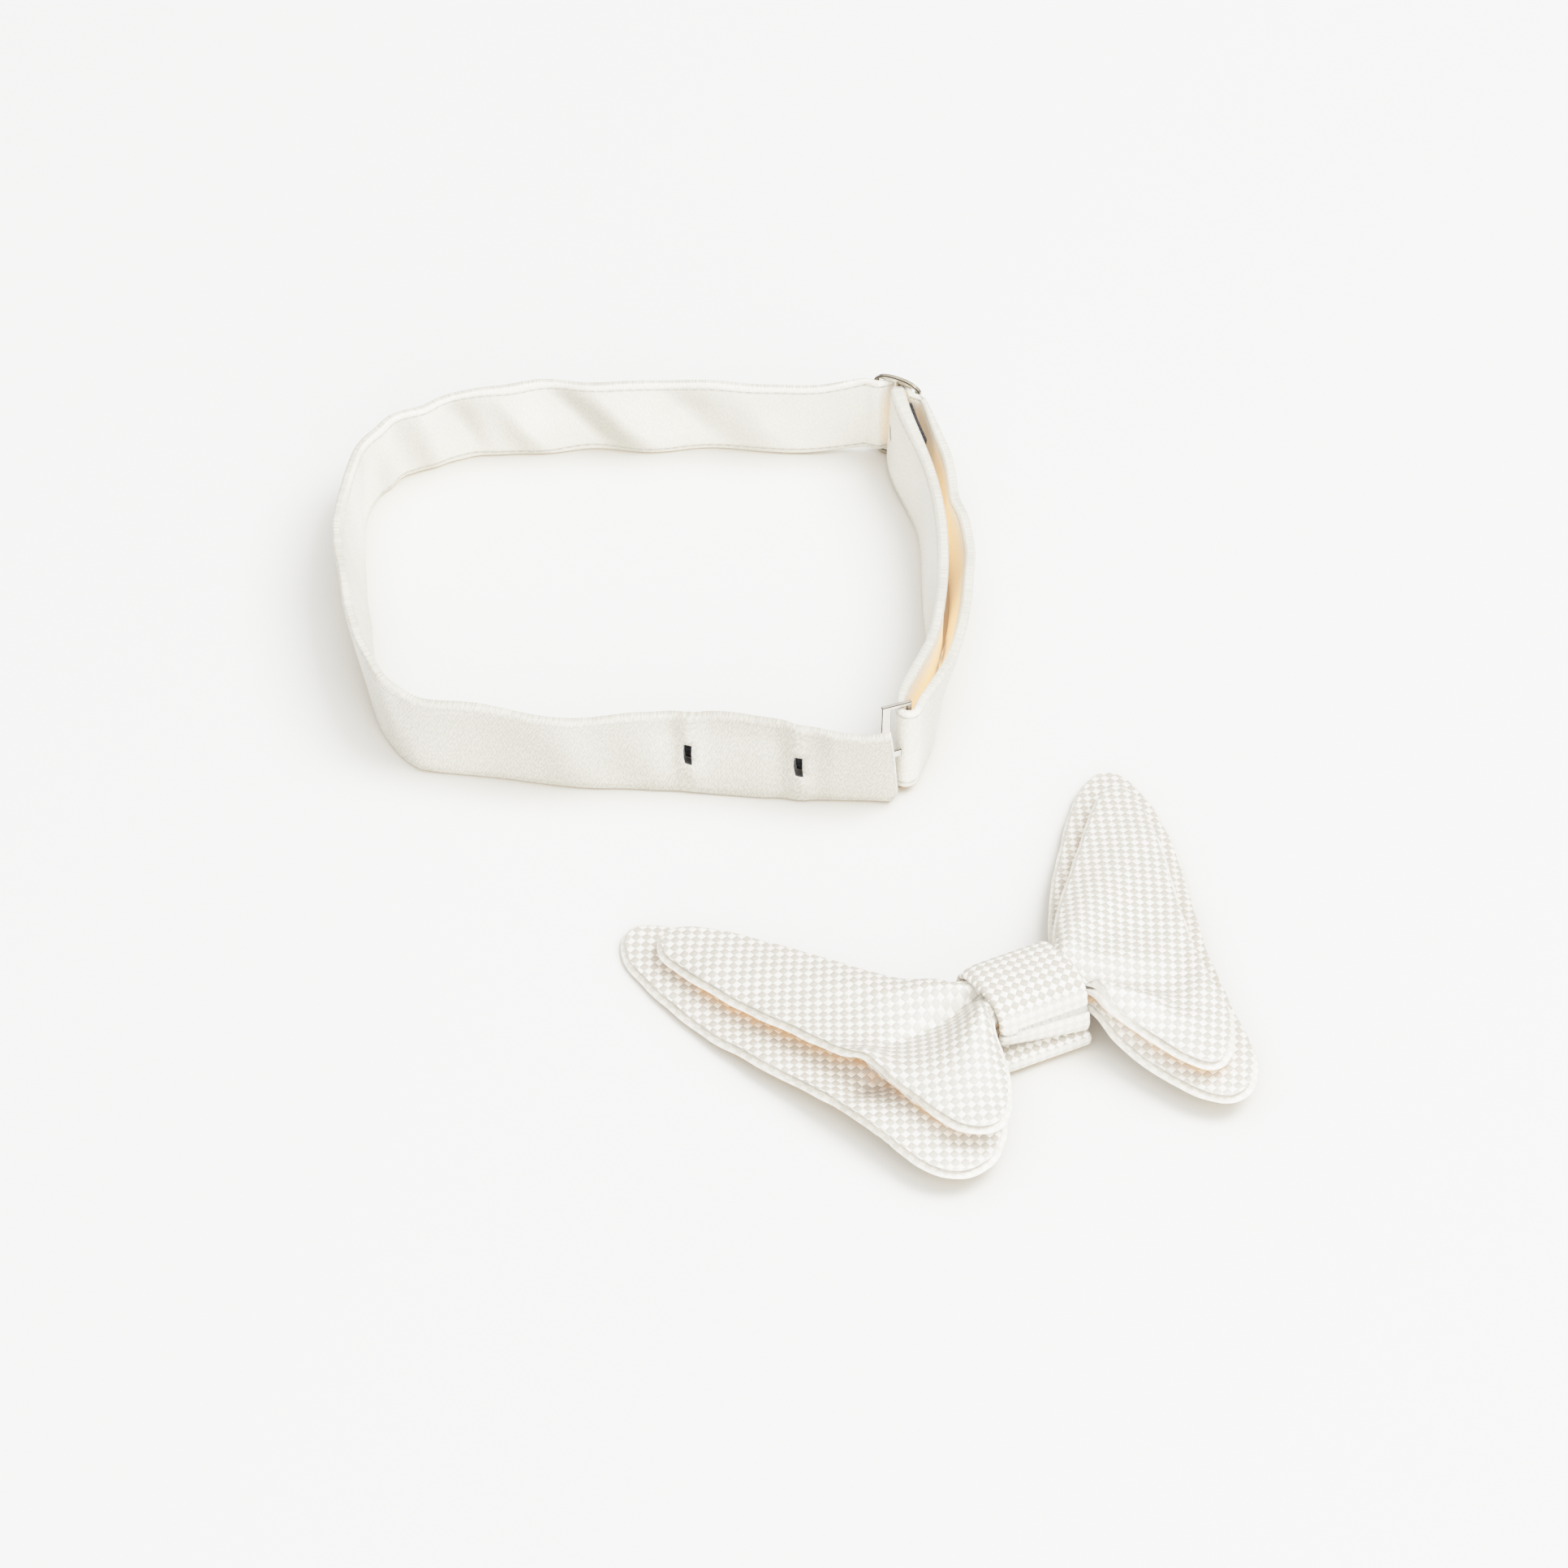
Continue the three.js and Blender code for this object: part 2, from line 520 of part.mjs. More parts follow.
// A layer of the bow is one padded double cloth through both wings and the knot.
function makeLayer(name, left, waist, right) {
  const named = [...[...left].reverse(), ...waist, ...right];
  const rows = finerRows(named.map((row) => [...row, LAYER_THICKNESS].slice(0, named[0].length + 1)));
  const skin = (side) =>
    rows.map((row, i) => {
      const [nearU, nearV, farU, farV] = row;
      const outward = Math.sign(nearU + farU);
      const fromEnd = Math.min(i, rows.length - 1 - i);
      const endFill = Math.min(1, fromEnd / PADDED_FROM_ROW);
      return Array.from({ length: LAYER_ACROSS + 1 }, (_, j) => {
        const t = j / LAYER_ACROSS;
        const fill = Math.sqrt(Math.sin(Math.PI * t) * endFill);
        const half = THREE.MathUtils.lerp(LAYER_EDGE, row[12], fill) / 2;
        const bulge = outward * 2 * Math.sin(Math.PI * t) * THREE.MathUtils.lerp(row[10], row[11], t);
        return new THREE.Vector3(
          THREE.MathUtils.lerp(nearU, farU, t) + bulge,
          THREE.MathUtils.lerp(nearV, farV, t),
          acrossHeight(row, t) + side * half,
        );
      });
    });
  return pieceOf(name, shell(skin(1), skin(-1)), weave);
}

// A ring of cloth along the middle of the bow, with a rounded box section.
function makeRing(name, { middle, halfWidth, halfHeight, halfLength, wall, slant, squareness, along, around }) {
  const skin = (inset) =>
    Array.from({ length: along + 1 }, (_, i) => {
      const u = halfLength * ((2 * i) / along - 1);
      return Array.from({ length: around }, (__, j) => {
        const angle = (2 * Math.PI * j) / around;
        const c = Math.cos(angle);
        const s = Math.sin(angle);
        const v = (halfWidth - inset) * Math.sign(c) * Math.abs(c) ** squareness;
        const z = (halfHeight - inset) * Math.sign(s) * Math.abs(s) ** squareness;
        return new THREE.Vector3(u + slant * v, middle.x + v, middle.y + z);
      });
    });
  return pieceOf(name, shell(skin(wall), skin(0), { ring: true }), weave);
}

const strapRows = [
  ...FRONT_ROWS, ...LEFT_ROWS, ...BACK_ROWS, ...weaveRows(), ...OUTER_ROWS, ...foldRows(), ...INNER_ROWS,
];
const stations = strapStations(strapRows);
const isBetween = (value, [least, most]) => value > least && value < most;
const frontTape = stations.filter(
  ({ row, low }) => row < FRONT_ROWS.length && isBetween(low.x, FRONT_TAPE_ENDS),
);
const sideTape = stations.filter(
  ({ row, low }) => row >= strapRows.length - INNER_ROWS.length && isBetween(low.y, SIDE_TAPE_ENDS),
);
const neckBand = new THREE.Group();
neckBand.add(
  makeStrap(stations),
  makeTape('size_tape_front', frontTape, FRONT_TAPE_HEIGHTS),
  makeTape('size_tape_side', sideTape, SIDE_TAPE_HEIGHTS),
  makeSlider(),
  makeHook(),
);

const bow = new THREE.Group();
bow.add(
  makeLayer('bow_front', UPPER_LEFT, UPPER_WAIST, UPPER_RIGHT),
  makeLayer('bow_back', LOWER_LEFT, LOWER_WAIST, LOWER_RIGHT),
  makeRing('knot', {
    middle: KNOT_MIDDLE,
    halfWidth: KNOT_HALF_WIDTH,
    halfHeight: KNOT_HALF_HEIGHT,
    halfLength: KNOT_HALF_LENGTH,
    wall: KNOT_WALL,
    slant: KNOT_SLANT,
    squareness: 0.72,
    along: 6,
    around: 28,
  }),
  makeRing('strap_loop', {
    middle: LOOP_MIDDLE,
    halfWidth: LOOP_HALF_WIDTH,
    halfHeight: LOOP_HALF_HEIGHT,
    halfLength: LOOP_HALF_LENGTH,
    wall: LOOP_WALL,
    slant: KNOT_SLANT,
    squareness: 0.6,
    along: 5,
    around: 24,
  }),
);
bow.position.set(BOW_PLACE.x, BOW_PLACE.y, 0);
bow.rotation.z = BOW_TURN;

const tie = new THREE.Group();
tie.add(neckBand, bow);
tie.updateMatrixWorld(true);
const box = new THREE.Box3().setFromObject(tie, true);
const middle = box.getCenter(new THREE.Vector3());
tie.position.set(-middle.x, -middle.y, -box.min.z);

export default tie;
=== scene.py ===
"""Looks of a butterfly bow tie: satin neck band on its edge, woven bow lying in front of it."""

import logging
import math
from dataclasses import dataclass
from enum import Enum

import bmesh
import bpy
import numpy as np
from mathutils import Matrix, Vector, noise
from mathutils.bvhtree import BVHTree


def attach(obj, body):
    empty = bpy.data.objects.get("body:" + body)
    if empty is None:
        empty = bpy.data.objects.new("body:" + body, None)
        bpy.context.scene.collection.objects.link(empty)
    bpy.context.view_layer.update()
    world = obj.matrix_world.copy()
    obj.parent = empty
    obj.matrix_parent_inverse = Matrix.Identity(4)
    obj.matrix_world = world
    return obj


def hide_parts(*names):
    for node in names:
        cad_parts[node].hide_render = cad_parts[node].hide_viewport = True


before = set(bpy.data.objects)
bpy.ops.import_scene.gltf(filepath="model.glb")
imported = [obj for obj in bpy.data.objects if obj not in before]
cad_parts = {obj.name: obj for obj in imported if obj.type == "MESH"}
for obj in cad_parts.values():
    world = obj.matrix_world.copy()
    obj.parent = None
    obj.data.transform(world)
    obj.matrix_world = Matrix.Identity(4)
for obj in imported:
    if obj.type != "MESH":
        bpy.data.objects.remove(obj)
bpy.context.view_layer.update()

Colour = tuple[float, float, float]
Socket = bpy.types.NodeSocket

LOG = logging.getLogger("bow_tie")
MM = 0.001
NUMBER, PLACE = "NodeSocketFloat", "NodeSocketVector"
# The common point that the places on the surface are measured from, and how far to the right of it
# the band's free end lies.
ORIGIN = Vector((0.562, 4.110, 0.0)) * MM
FREE_END = 20.6 * MM
# Heights of the seams along the band, in millimetres, and the middle of its small inner slit.
SEAMS = (1.3, 17.8)
INNER_SLIT = Vector((22.9, 99.9, 10.7)) * MM
# Painted shade inside a slit, a painted highlight on a lit fold of the weave, and painted shade
# with painted light in the deepest gap.
SLIT_SHADE = (0.03, 0.03, 0.03)
FOLD_LIT = (1.0, 0.985, 0.93)
DEEP_GAP_SHADE = (0.5, 0.24, 0.09)
DEEP_GAP_LIGHT = (0.04, 0.015, 0.0)


class Weave(Enum):
    """How the threads of a cloth cross."""

    SATIN = "satin"
    BASKET = "basket"
    TAPE = "tape"


@dataclass(frozen=True)
class Cloth:
    """A woven finish.

    Attributes:
        name: name of the material.
        slot: material slot of the record; not used.
        weave: how its threads cross.
        turn: angle of the threads on the UV map, in degrees.
        bright: colour of the floats that face the light, with their sheen painted in.
        dull: colour of the floats that run the other way, painted as the shaded floats.
        gap_shade_colour: painted shade that stands in for shade where the cloth is closed in between layers.
        painted_glow: painted light, an emission standing in for light through the cloth where it is closed in.
        rough: roughness of the bright floats and of the dull ones.
        cell: size of one cell or the pitch of the twill, in metres.
        relief: height of the threads, in metres.
        sheen: weight of the sheen.
    """

    name: str
    slot: str
    weave: Weave
    turn: float
    bright: Colour
    dull: Colour
    gap_shade_colour: Colour
    painted_glow: Colour
    rough: tuple[float, float]
    cell: float
    relief: float
    sheen: float


@dataclass(frozen=True)
class Metal:
    """A polished plate finish.

    Attributes:
        name: name of the material.
        colour: its colour.
        rough: its least and greatest roughness.
        slot: material slot of the record; not used.
    """

    name: str
    colour: Colour
    rough: tuple[float, float]
    slot: str = "metal"


SATIN = Cloth(
    "ivory_satin", "satin", Weave.SATIN, 0.0, bright=(0.97, 0.935, 0.845), dull=(0.49, 0.46, 0.39),
    gap_shade_colour=(0.78, 0.57, 0.38), painted_glow=(0.39, 0.275, 0.165), rough=(0.3, 0.5), cell=0.6 * MM,
    relief=0.06 * MM, sheen=0.3)
BASKET = Cloth(
    "ivory_basket_weave", "weave", Weave.BASKET, 45.0, bright=(0.99, 0.96, 0.885), dull=(0.545, 0.50, 0.435),
    gap_shade_colour=(0.70, 0.45, 0.25), painted_glow=(0.20, 0.115, 0.055), rough=(0.34, 0.6), cell=1.38 * MM,
    relief=0.2 * MM, sheen=0.2)
TAPE = Cloth(
    "black_tape", "tape", Weave.TAPE, 45.0, bright=(0.02, 0.02, 0.024), dull=(0.01, 0.01, 0.012),
    gap_shade_colour=(0.012, 0.012, 0.015), painted_glow=(0.0, 0.0, 0.0), rough=(0.6, 0.8), cell=0.8 * MM,
    relief=0.06 * MM, sheen=0.05)
SILVER = Metal("silver_plate", (0.76, 0.72, 0.67), (0.08, 0.2))
# The slider's plate is painted browner, a painted reflection of the cloth round it.
SILVER_BROWN_REFLECTION = Metal("silver_plate_brown_reflection", (0.58, 0.52, 0.43), (0.12, 0.28))
# Painted shade: the fittings' rounded edges are near black.
SILVER_EDGE_SHADE = Metal("silver_plate_edge_shade", (0.045, 0.035, 0.025), (0.15, 0.3))


class Graph:
    """Adds nodes to a node tree and joins them."""

    def __init__(self, tree: bpy.types.NodeTree) -> None:
        """Starts with an empty tree."""
        self.tree = tree
        tree.nodes.clear()

    def add(self, kind: str, inputs: dict | None = None, **settings: object) -> bpy.types.Node:
        """Adds a node.

        Args:
            kind: Blender's name of the node type.
            inputs: value or output socket for each input, by name or number.
            settings: the node's own settings.

        Returns:
            The new node.
        """
        node = self.tree.nodes.new(kind)
        for name, value in settings.items():
            setattr(node, name, value)
        for name, value in (inputs or {}).items():
            if isinstance(value, Socket):
                self.tree.links.new(value, node.inputs[name])
            else:
                node.inputs[name].default_value = value
        return node

    def math(self, operation: str, *values: object) -> Socket:
        """Adds a Math node and returns its output."""
        return self.add("ShaderNodeMath", dict(enumerate(values)), operation=operation).outputs[0]

    def times(self, *values: object) -> Socket:
        """Multiplies numbers in turn.

        Args:
            values: two or more numbers or sockets.

        Returns:
            Their product.
        """
        product = values[0]
        for value in values[1:]:
            product = self.math("MULTIPLY", product, value)
        return product

    def vector(self, operation: str, *values: object) -> Socket:
        """Adds a Vector Math node and returns its output."""
        return self.add("ShaderNodeVectorMath", dict(enumerate(values)), operation=operation).outputs[0]

    def split(self, place: Socket) -> bpy.types.bpy_prop_collection:
        """Splits a place into its three axes and returns them."""
        return self.add("ShaderNodeSeparateXYZ", {0: place}).outputs

    def noise(self, place: Socket, scale: object, detail: float) -> bpy.types.bpy_prop_collection:
        """Adds a noise texture and returns its outputs."""
        return self.add("ShaderNodeTexNoise", {"Vector": place, "Scale": scale, "Detail": detail}).outputs

    def spread(self, value: Socket, low: float, high: float, start: float = 0.0, end: float = 1.0) -> Socket:
        """Takes a number from the range low to high to the range start to end and returns it."""
        return self.add("ShaderNodeMapRange", {0: value, 1: low, 2: high, 3: start, 4: end}).outputs[0]

    def blend(self, factor: object, low: object, high: object) -> Socket:
        """Mixes two numbers by a factor and returns the result."""
        return self.add("ShaderNodeMix", {0: factor, 2: low, 3: high}).outputs[0]

    def tint(self, factor: object, low: object, high: object) -> Socket:
        """Mixes two colours.

        Args:
            factor: share of the second colour.
            low: the first colour.
            high: the second colour.

        Returns:
            The mixed colour.
        """
        pair = [value if isinstance(value, Socket) else (*value, 1.0) for value in (low, high)]
        return self.add("ShaderNodeMix", {0: factor, 6: pair[0], 7: pair[1]}, data_type="RGBA").outputs[2]

    def painted(self, name: str) -> Socket:
        """Reads a number that is painted on the mesh and returns it."""
        return self.add("ShaderNodeAttribute", attribute_name=name).outputs["Fac"]

    def group(self, tree: bpy.types.NodeTree, inputs: dict) -> bpy.types.bpy_prop_collection:
        """Places a node group and returns its outputs."""
        return self.add("ShaderNodeGroup", inputs, node_tree=tree).outputs

    def principled(self, inputs: dict) -> None:
        """Ends a material in a Principled shader with the given inputs."""
        shader = self.add("ShaderNodeBsdfPrincipled", inputs)
        self.add("ShaderNodeOutputMaterial", {0: shader.outputs[0]})


class Group(Graph):
    """A shader node group whose outputs are numbers."""

    def __init__(self, name: str, inputs: dict[str, str], *outputs: str) -> None:
        """Makes an empty group.

        Args:
            name: name of the group.
            inputs: socket type of each input by name.
            outputs: name of each output.
        """
        super().__init__(bpy.data.node_groups.new(name, "ShaderNodeTree"))
        for label, kind in inputs.items():
            self.tree.interface.new_socket(label, in_out="INPUT", socket_type=kind)
        for label in outputs:
            self.tree.interface.new_socket(label, in_out="OUTPUT", socket_type=NUMBER)
        self.given = self.add("NodeGroupInput").outputs

    def give(self, **results: Socket) -> bpy.types.NodeTree:
        """Joins the results to the group's outputs and returns the group."""
        self.add("NodeGroupOutput", results)
        return self.tree


def basket_group() -> bpy.types.NodeTree:
    """Makes the group of a basket weave: square cells whose threads run to and fro in turn.

    Returns:
        A group from a place, a cell size and the threads of a cell to the mask of the bright cells,
        height and edges, where shade is painted between the floats.
    """
    inputs = {"Place": PLACE, "Cell": NUMBER, "Threads": NUMBER}
    graph = Group("basket_weave", inputs, "Bright", "Height", "Edge")
    given = graph.given
    uneven = graph.vector("SUBTRACT", graph.noise(given["Place"], 260.0, 1.0)["Color"], (0.5, 0.5, 0.5))
    wander = graph.add("ShaderNodeVectorMath", {0: uneven, "Scale": 0.22}, operation="SCALE").outputs[0]
    place = graph.vector("ADD", graph.vector("DIVIDE", given["Place"], given["Cell"]), wander)
    whole = graph.split(graph.vector("FLOOR", place))
    part = graph.split(graph.vector("FRACTION", place))
    bright = graph.math("FLOORED_MODULO", graph.math("ADD", whole[0], whole[1]), 2.0)
    along = graph.blend(bright, part[0], part[1])
    across = graph.blend(bright, part[1], part[0])
    arch = graph.math("POWER", graph.math("SINE", graph.times(along, math.pi)), 0.7)
    side = graph.math("POWER", graph.math("SINE", graph.times(across, math.pi)), 0.3)
    turns = graph.times(across, given["Threads"], 2 * math.pi)
    thread = graph.math("MULTIPLY_ADD", graph.math("COSINE", turns), -0.13, 0.87)
    height = graph.times(arch, side, thread, graph.blend(bright, 0.72, 1.0))
    # Painted shade: darker towards the edges of each cell, between the floats.
    edge = graph.math("SUBTRACT", 1.0, graph.times(side, graph.math("POWER", arch, 0.5)))
    return graph.give(Bright=bright, Height=height, Edge=edge)


def twill_group() -> bpy.types.NodeTree:
    """Makes the group of a satin twill: fine slanting lines with slight unevenness.

    Returns:
        A group from a place and a pitch to a mask of the bright threads and their height.
    """
    graph = Group("satin_twill", {"Place": PLACE, "Cell": NUMBER}, "Bright", "Height")
    place = graph.given["Place"]
    axes = graph.split(place)
    stretched = graph.add("ShaderNodeMapping", {0: place, 2: (0, 0, 0.9), 3: (1.0, 0.45, 1.0)}).outputs[0]
    slant = graph.math("ADD", graph.times(axes[0], 0.88), graph.times(axes[1], 0.47))
    turns = graph.times(graph.math("DIVIDE", slant, graph.given["Cell"]), 2 * math.pi)
    shifted = graph.math("ADD", turns, graph.times(graph.noise(place, 900.0, 2.0)["Fac"], 5.0))
    line = graph.math("MULTIPLY_ADD", graph.math("SINE", shifted), 0.5, 0.5)
    grain = graph.spread(graph.noise(stretched, 2700.0, 2.0)["Fac"], 0.43, 0.57)
    mixed = graph.blend(0.65, line, grain)
    return graph.give(Bright=mixed, Height=mixed)


def seam_group() -> bpy.types.NodeTree:
    """Makes the group of a stitched seam along a cloth's edge.

    Returns:
        A group from a place, the seam's height and its half width to a mask of the seam.
    """
    graph = Group("stitched_seam", {"Place": PLACE, "Height": NUMBER, "Half Width": NUMBER}, "Mask")
    given = graph.given
    axes = graph.split(given["Place"])
    wave = graph.times(graph.math("SINE", graph.times(axes[0], 180.0)), 0.2 * MM)
    away = graph.math("ABSOLUTE", graph.math("SUBTRACT", graph.math("ADD", axes[1], wave), given["Height"]))
    inside = graph.math("SUBTRACT", 1.0, graph.math("DIVIDE", away, given["Half Width"]))
    stitch = graph.math("MULTIPLY_ADD", graph.math("SINE", graph.times(axes[0], 3300.0)), 0.2, 0.8)
    return graph.give(Mask=graph.times(graph.math("MAXIMUM", inside, 0.0), stitch))


def slit_group() -> bpy.types.NodeTree:
    """Makes the group of a thin slit on upright cloth.

    Returns:
        A group from a place and the slit's middle to its mask, where shade is painted.
    """
    graph = Group("thin_slit", {"Place": PLACE, "Middle": PLACE}, "Mask")
    axes = graph.split(graph.vector("SUBTRACT", graph.given["Place"], graph.given["Middle"]))
    leaned = graph.math("SUBTRACT", axes[1], graph.times(axes[2], 0.6))
    halves = ((axes[0], 1.3), (leaned, 0.75), (axes[2], 1.3))
    near = [graph.math("LESS_THAN", graph.math("ABSOLUTE", axis), half * MM) for axis, half in halves]
    return graph.give(Mask=graph.times(*near))


def wear_group() -> bpy.types.NodeTree:
    """Makes the group of slow unevenness in a finish, from soft noise.

    Returns:
        A group from a place and a scale to a mask.
    """
    graph = Group("slow_unevenness", {"Place": PLACE, "Scale": NUMBER}, "Mask")
    soft = graph.noise(graph.given["Place"], graph.given["Scale"], 3.0)["Fac"]
    return graph.give(Mask=graph.spread(soft, 0.35, 0.65))


def new_material(name: str) -> tuple[bpy.types.Material, Graph]:
    """Makes an empty material.

    Args:
        name: its name.

    Returns:
        The material and its graph.
    """
    material = bpy.data.materials.new(name)
    material.use_nodes = True
    return material, Graph(material.node_tree)


def darker(colour: Colour, part: float) -> Colour:
    """The given part of a colour's brightness."""
    return tuple(value * part for value in colour)


class Finishes:
    """Makes the materials of the bow tie from shared node groups."""

    def __init__(self) -> None:
        """Builds the shared node groups."""
        self.basket = basket_group()
        self.twill = twill_group()
        self.seam = seam_group()
        self.slit = slit_group()
        self.uneven = wear_group()

    def satin_threads(self, graph: Graph, cell: float, place: Socket, turned: Socket) -> tuple[Socket, ...]:
        """Weaves satin with a seam along each edge and a painted sheen, brighter where it faces the viewer,
        on the faces turned into the loop, on the roll at the hook and on lit folds.

        Args:
            graph: the material's graph.
            cell: pitch of the twill, in metres.
            place: place on the flat cloth.
            turned: the same place, turned to the threads.

        Returns:
            Masks of the bright threads and of the shaded edges, and the height of the threads.
        """
        threads = graph.group(self.twill, {"Place": turned, "Cell": cell})
        seams = [
            graph.group(self.seam, {"Place": place, "Height": up * MM, "Half Width": 0.42 * MM})["Mask"]
            for up in SEAMS]
        painted_sheen_mask = graph.painted("painted_sheen_mask")
        edge = graph.times(graph.math("ADD", *seams), graph.math("MULTIPLY_ADD", painted_sheen_mask, 0.5, 0.2))
        height = graph.math("SUBTRACT", threads["Height"], graph.times(edge, 4.0))
        # Painted sheen: the colour turns brighter where the cloth faces the viewer, where the sheen mask is
        # painted and on lit folds.
        facing = graph.add("ShaderNodeLayerWeight", {"Blend": 0.5}).outputs["Facing"]
        gloss = graph.times(graph.spread(facing, 0.06, 0.5, 1.0, 0.0), 0.5)
        gloss = graph.math("MULTIPLY_ADD", painted_sheen_mask, 0.8, gloss)
        gloss = graph.math("MULTIPLY_ADD", graph.painted("fold_light"), 1.1, gloss)
        show_threads = graph.math("MULTIPLY_ADD", painted_sheen_mask, -0.2, 0.42)
        return graph.blend(show_threads, graph.spread(gloss, -0.2, 1.1), threads["Bright"]), edge, height

    def basket_threads(self, graph: Graph, cell: float, turned: Socket) -> tuple[Socket, ...]:
        """Weaves a basket cloth or a tape, which is smooth where it is painted plain.

        Args:
            graph: the material's graph.
            cell: size of one cell, in metres.
            turned: place on the flat cloth, turned to the threads.

        Returns:
            Masks of the bright threads and of the shaded edges, and the height of the threads.
        """
        threads = graph.group(self.basket, {"Place": turned, "Cell": cell, "Threads": 3.0})
        plain = graph.painted("plain")
        woven = graph.math("SUBTRACT", 1.0, plain)
        bright = graph.blend(graph.times(plain, 0.9), threads["Bright"], 0.85)
        edge = graph.times(threads["Edge"], graph.times(woven, 0.3))
        return bright, edge, graph.times(threads["Height"], woven)

    def cloth(self, finish: Cloth) -> bpy.types.Material:
        """Makes a cloth's material on a piece's UV map.

        Args:
            finish: the cloth.

        Returns:
            The material.
        """
        material, graph = new_material(f"{finish.name}_{round(finish.turn)}")
        place = graph.add("ShaderNodeUVMap", uv_map="cloth").outputs[0]
        turned = graph.add("ShaderNodeMapping", {0: place, 2: (0.0, 0.0, math.radians(finish.turn))}).outputs[0]
        if finish.weave is Weave.SATIN:
            bright, edge, height = self.satin_threads(graph, finish.cell, place, turned)
        else:
            bright, edge, height = self.basket_threads(graph, finish.cell, turned)
        shade = darker(finish.dull, 0.8)
        # Bright and dull floats by their painted sheen, darkened to painted shade at the cell edges and along
        # the seams.
        colour = graph.tint(edge, graph.tint(bright, finish.dull, finish.bright), shade)
        # Painted highlight and painted shade on the weave's folds.
        if finish.weave is Weave.BASKET:
            fold = graph.painted("fold_light")
            lit = graph.times(graph.math("MAXIMUM", fold, 0.0), 0.75)
            unlit = graph.times(graph.math("MAXIMUM", graph.times(fold, -1.0), 0.0), 0.3)
            colour = graph.tint(unlit, graph.tint(lit, colour, FOLD_LIT), shade)
        slow = graph.group(self.uneven, {"Place": place, "Scale": 60.0})["Mask"]
        colour = graph.tint(graph.times(slow, 0.12), colour, shade)
        # Painted shade and painted light where the cloth is closed in: an orange tint and an emission that
        # stand in for light caught between the layers.
        closed = graph.painted("painted_gap_shade")
        colour = graph.tint(closed, colour, finish.gap_shade_colour)
        painted_glow = graph.tint(closed, (0.0, 0.0, 0.0), finish.painted_glow)
        # Painted shade: the slits and the faces inside them are painted near black.
        if finish.weave is Weave.SATIN:
            where = graph.add("ShaderNodeTexCoord").outputs["Object"]
            slit = graph.group(self.slit, {"Place": where, "Middle": INNER_SLIT})["Mask"]
            colour = graph.tint(graph.math("MAXIMUM", slit, graph.painted("slit_wall_shade")), colour, SLIT_SHADE)
        # Painted deeper shade and painted light in the deepest gap between the bow's layers.
        if finish.weave is Weave.BASKET:
            deepest = graph.times(closed, graph.painted("deepest"), 2.0)
            deepest = graph.math("MINIMUM", deepest, 0.92)
            colour = graph.tint(deepest, colour, DEEP_GAP_SHADE)
            painted_glow = graph.tint(deepest, painted_glow, DEEP_GAP_LIGHT)
        bump = graph.add("ShaderNodeBump", {"Strength": 1.0, "Distance": finish.relief, "Height": height})
        graph.principled({
            "Base Color": colour, "Roughness": graph.blend(bright, finish.rough[1], finish.rough[0]),
            "Normal": bump.outputs[0], "Sheen Weight": finish.sheen, "Sheen Roughness": 0.4,
            "Specular IOR Level": 0.5, "Emission Color": painted_glow, "Emission Strength": 1.0})
        return material

    def metal(self, finish: Metal) -> bpy.types.Material:
        """Makes a polished plate's material on Object coordinates.

        Args:
            finish: the plate.

        Returns:
            The material.
        """
        material, graph = new_material(finish.name)
        place = graph.add("ShaderNodeTexCoord").outputs["Object"]
        slow = graph.group(self.uneven, {"Place": place, "Scale": 400.0})["Mask"]
        fine = graph.group(self.uneven, {"Place": place, "Scale": 3000.0})["Mask"]
        bump = graph.add("ShaderNodeBump", {"Strength": 0.3, "Distance": 0.01 * MM, "Height": fine})
        graph.principled({
            "Base Color": graph.tint(slow, finish.colour, darker(finish.colour, 0.9)),
            "Roughness": graph.blend(slow, *finish.rough), "Normal": bump.outputs[0], "Metallic": 1.0})
        return material

    def materials(self, finish: Cloth | Metal) -> list[bpy.types.Material]:
        """Makes the materials of a piece.

        Args:
            finish: its cloth or its plate.

        Returns:
            The cloth, or the plate and then the plate's rounded edges, painted dark as shade.
        """
        if isinstance(finish, Cloth):
            return [self.cloth(finish)]
        return [self.metal(finish), self.metal(SILVER_EDGE_SHADE)]


def welded(node: str) -> bmesh.types.BMesh:
    """Copies a CAD node's mesh, merges its corners and pairs its triangles back into quads.

    Args:
        node: name of the CAD node.

    Returns:
        The merged copy.
    """
    mesh = bmesh.new()
    mesh.from_mesh(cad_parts[node].data)
    bmesh.ops.remove_doubles(mesh, verts=mesh.verts, dist=0.01 * MM)
    bmesh.ops.join_triangles(
        mesh, faces=mesh.faces, angle_face_threshold=math.radians(50), angle_shape_threshold=math.radians(80))
    return mesh


def placed(name: str, data: bpy.types.ID) -> bpy.types.Object:
    """Makes an object and links it to the scene.

    Args:
        name: its name.
        data: its mesh, lamp or camera.

    Returns:
        The object.
    """
    thing = bpy.data.objects.new(name, data)
    bpy.context.scene.collection.objects.link(thing)
    return thing


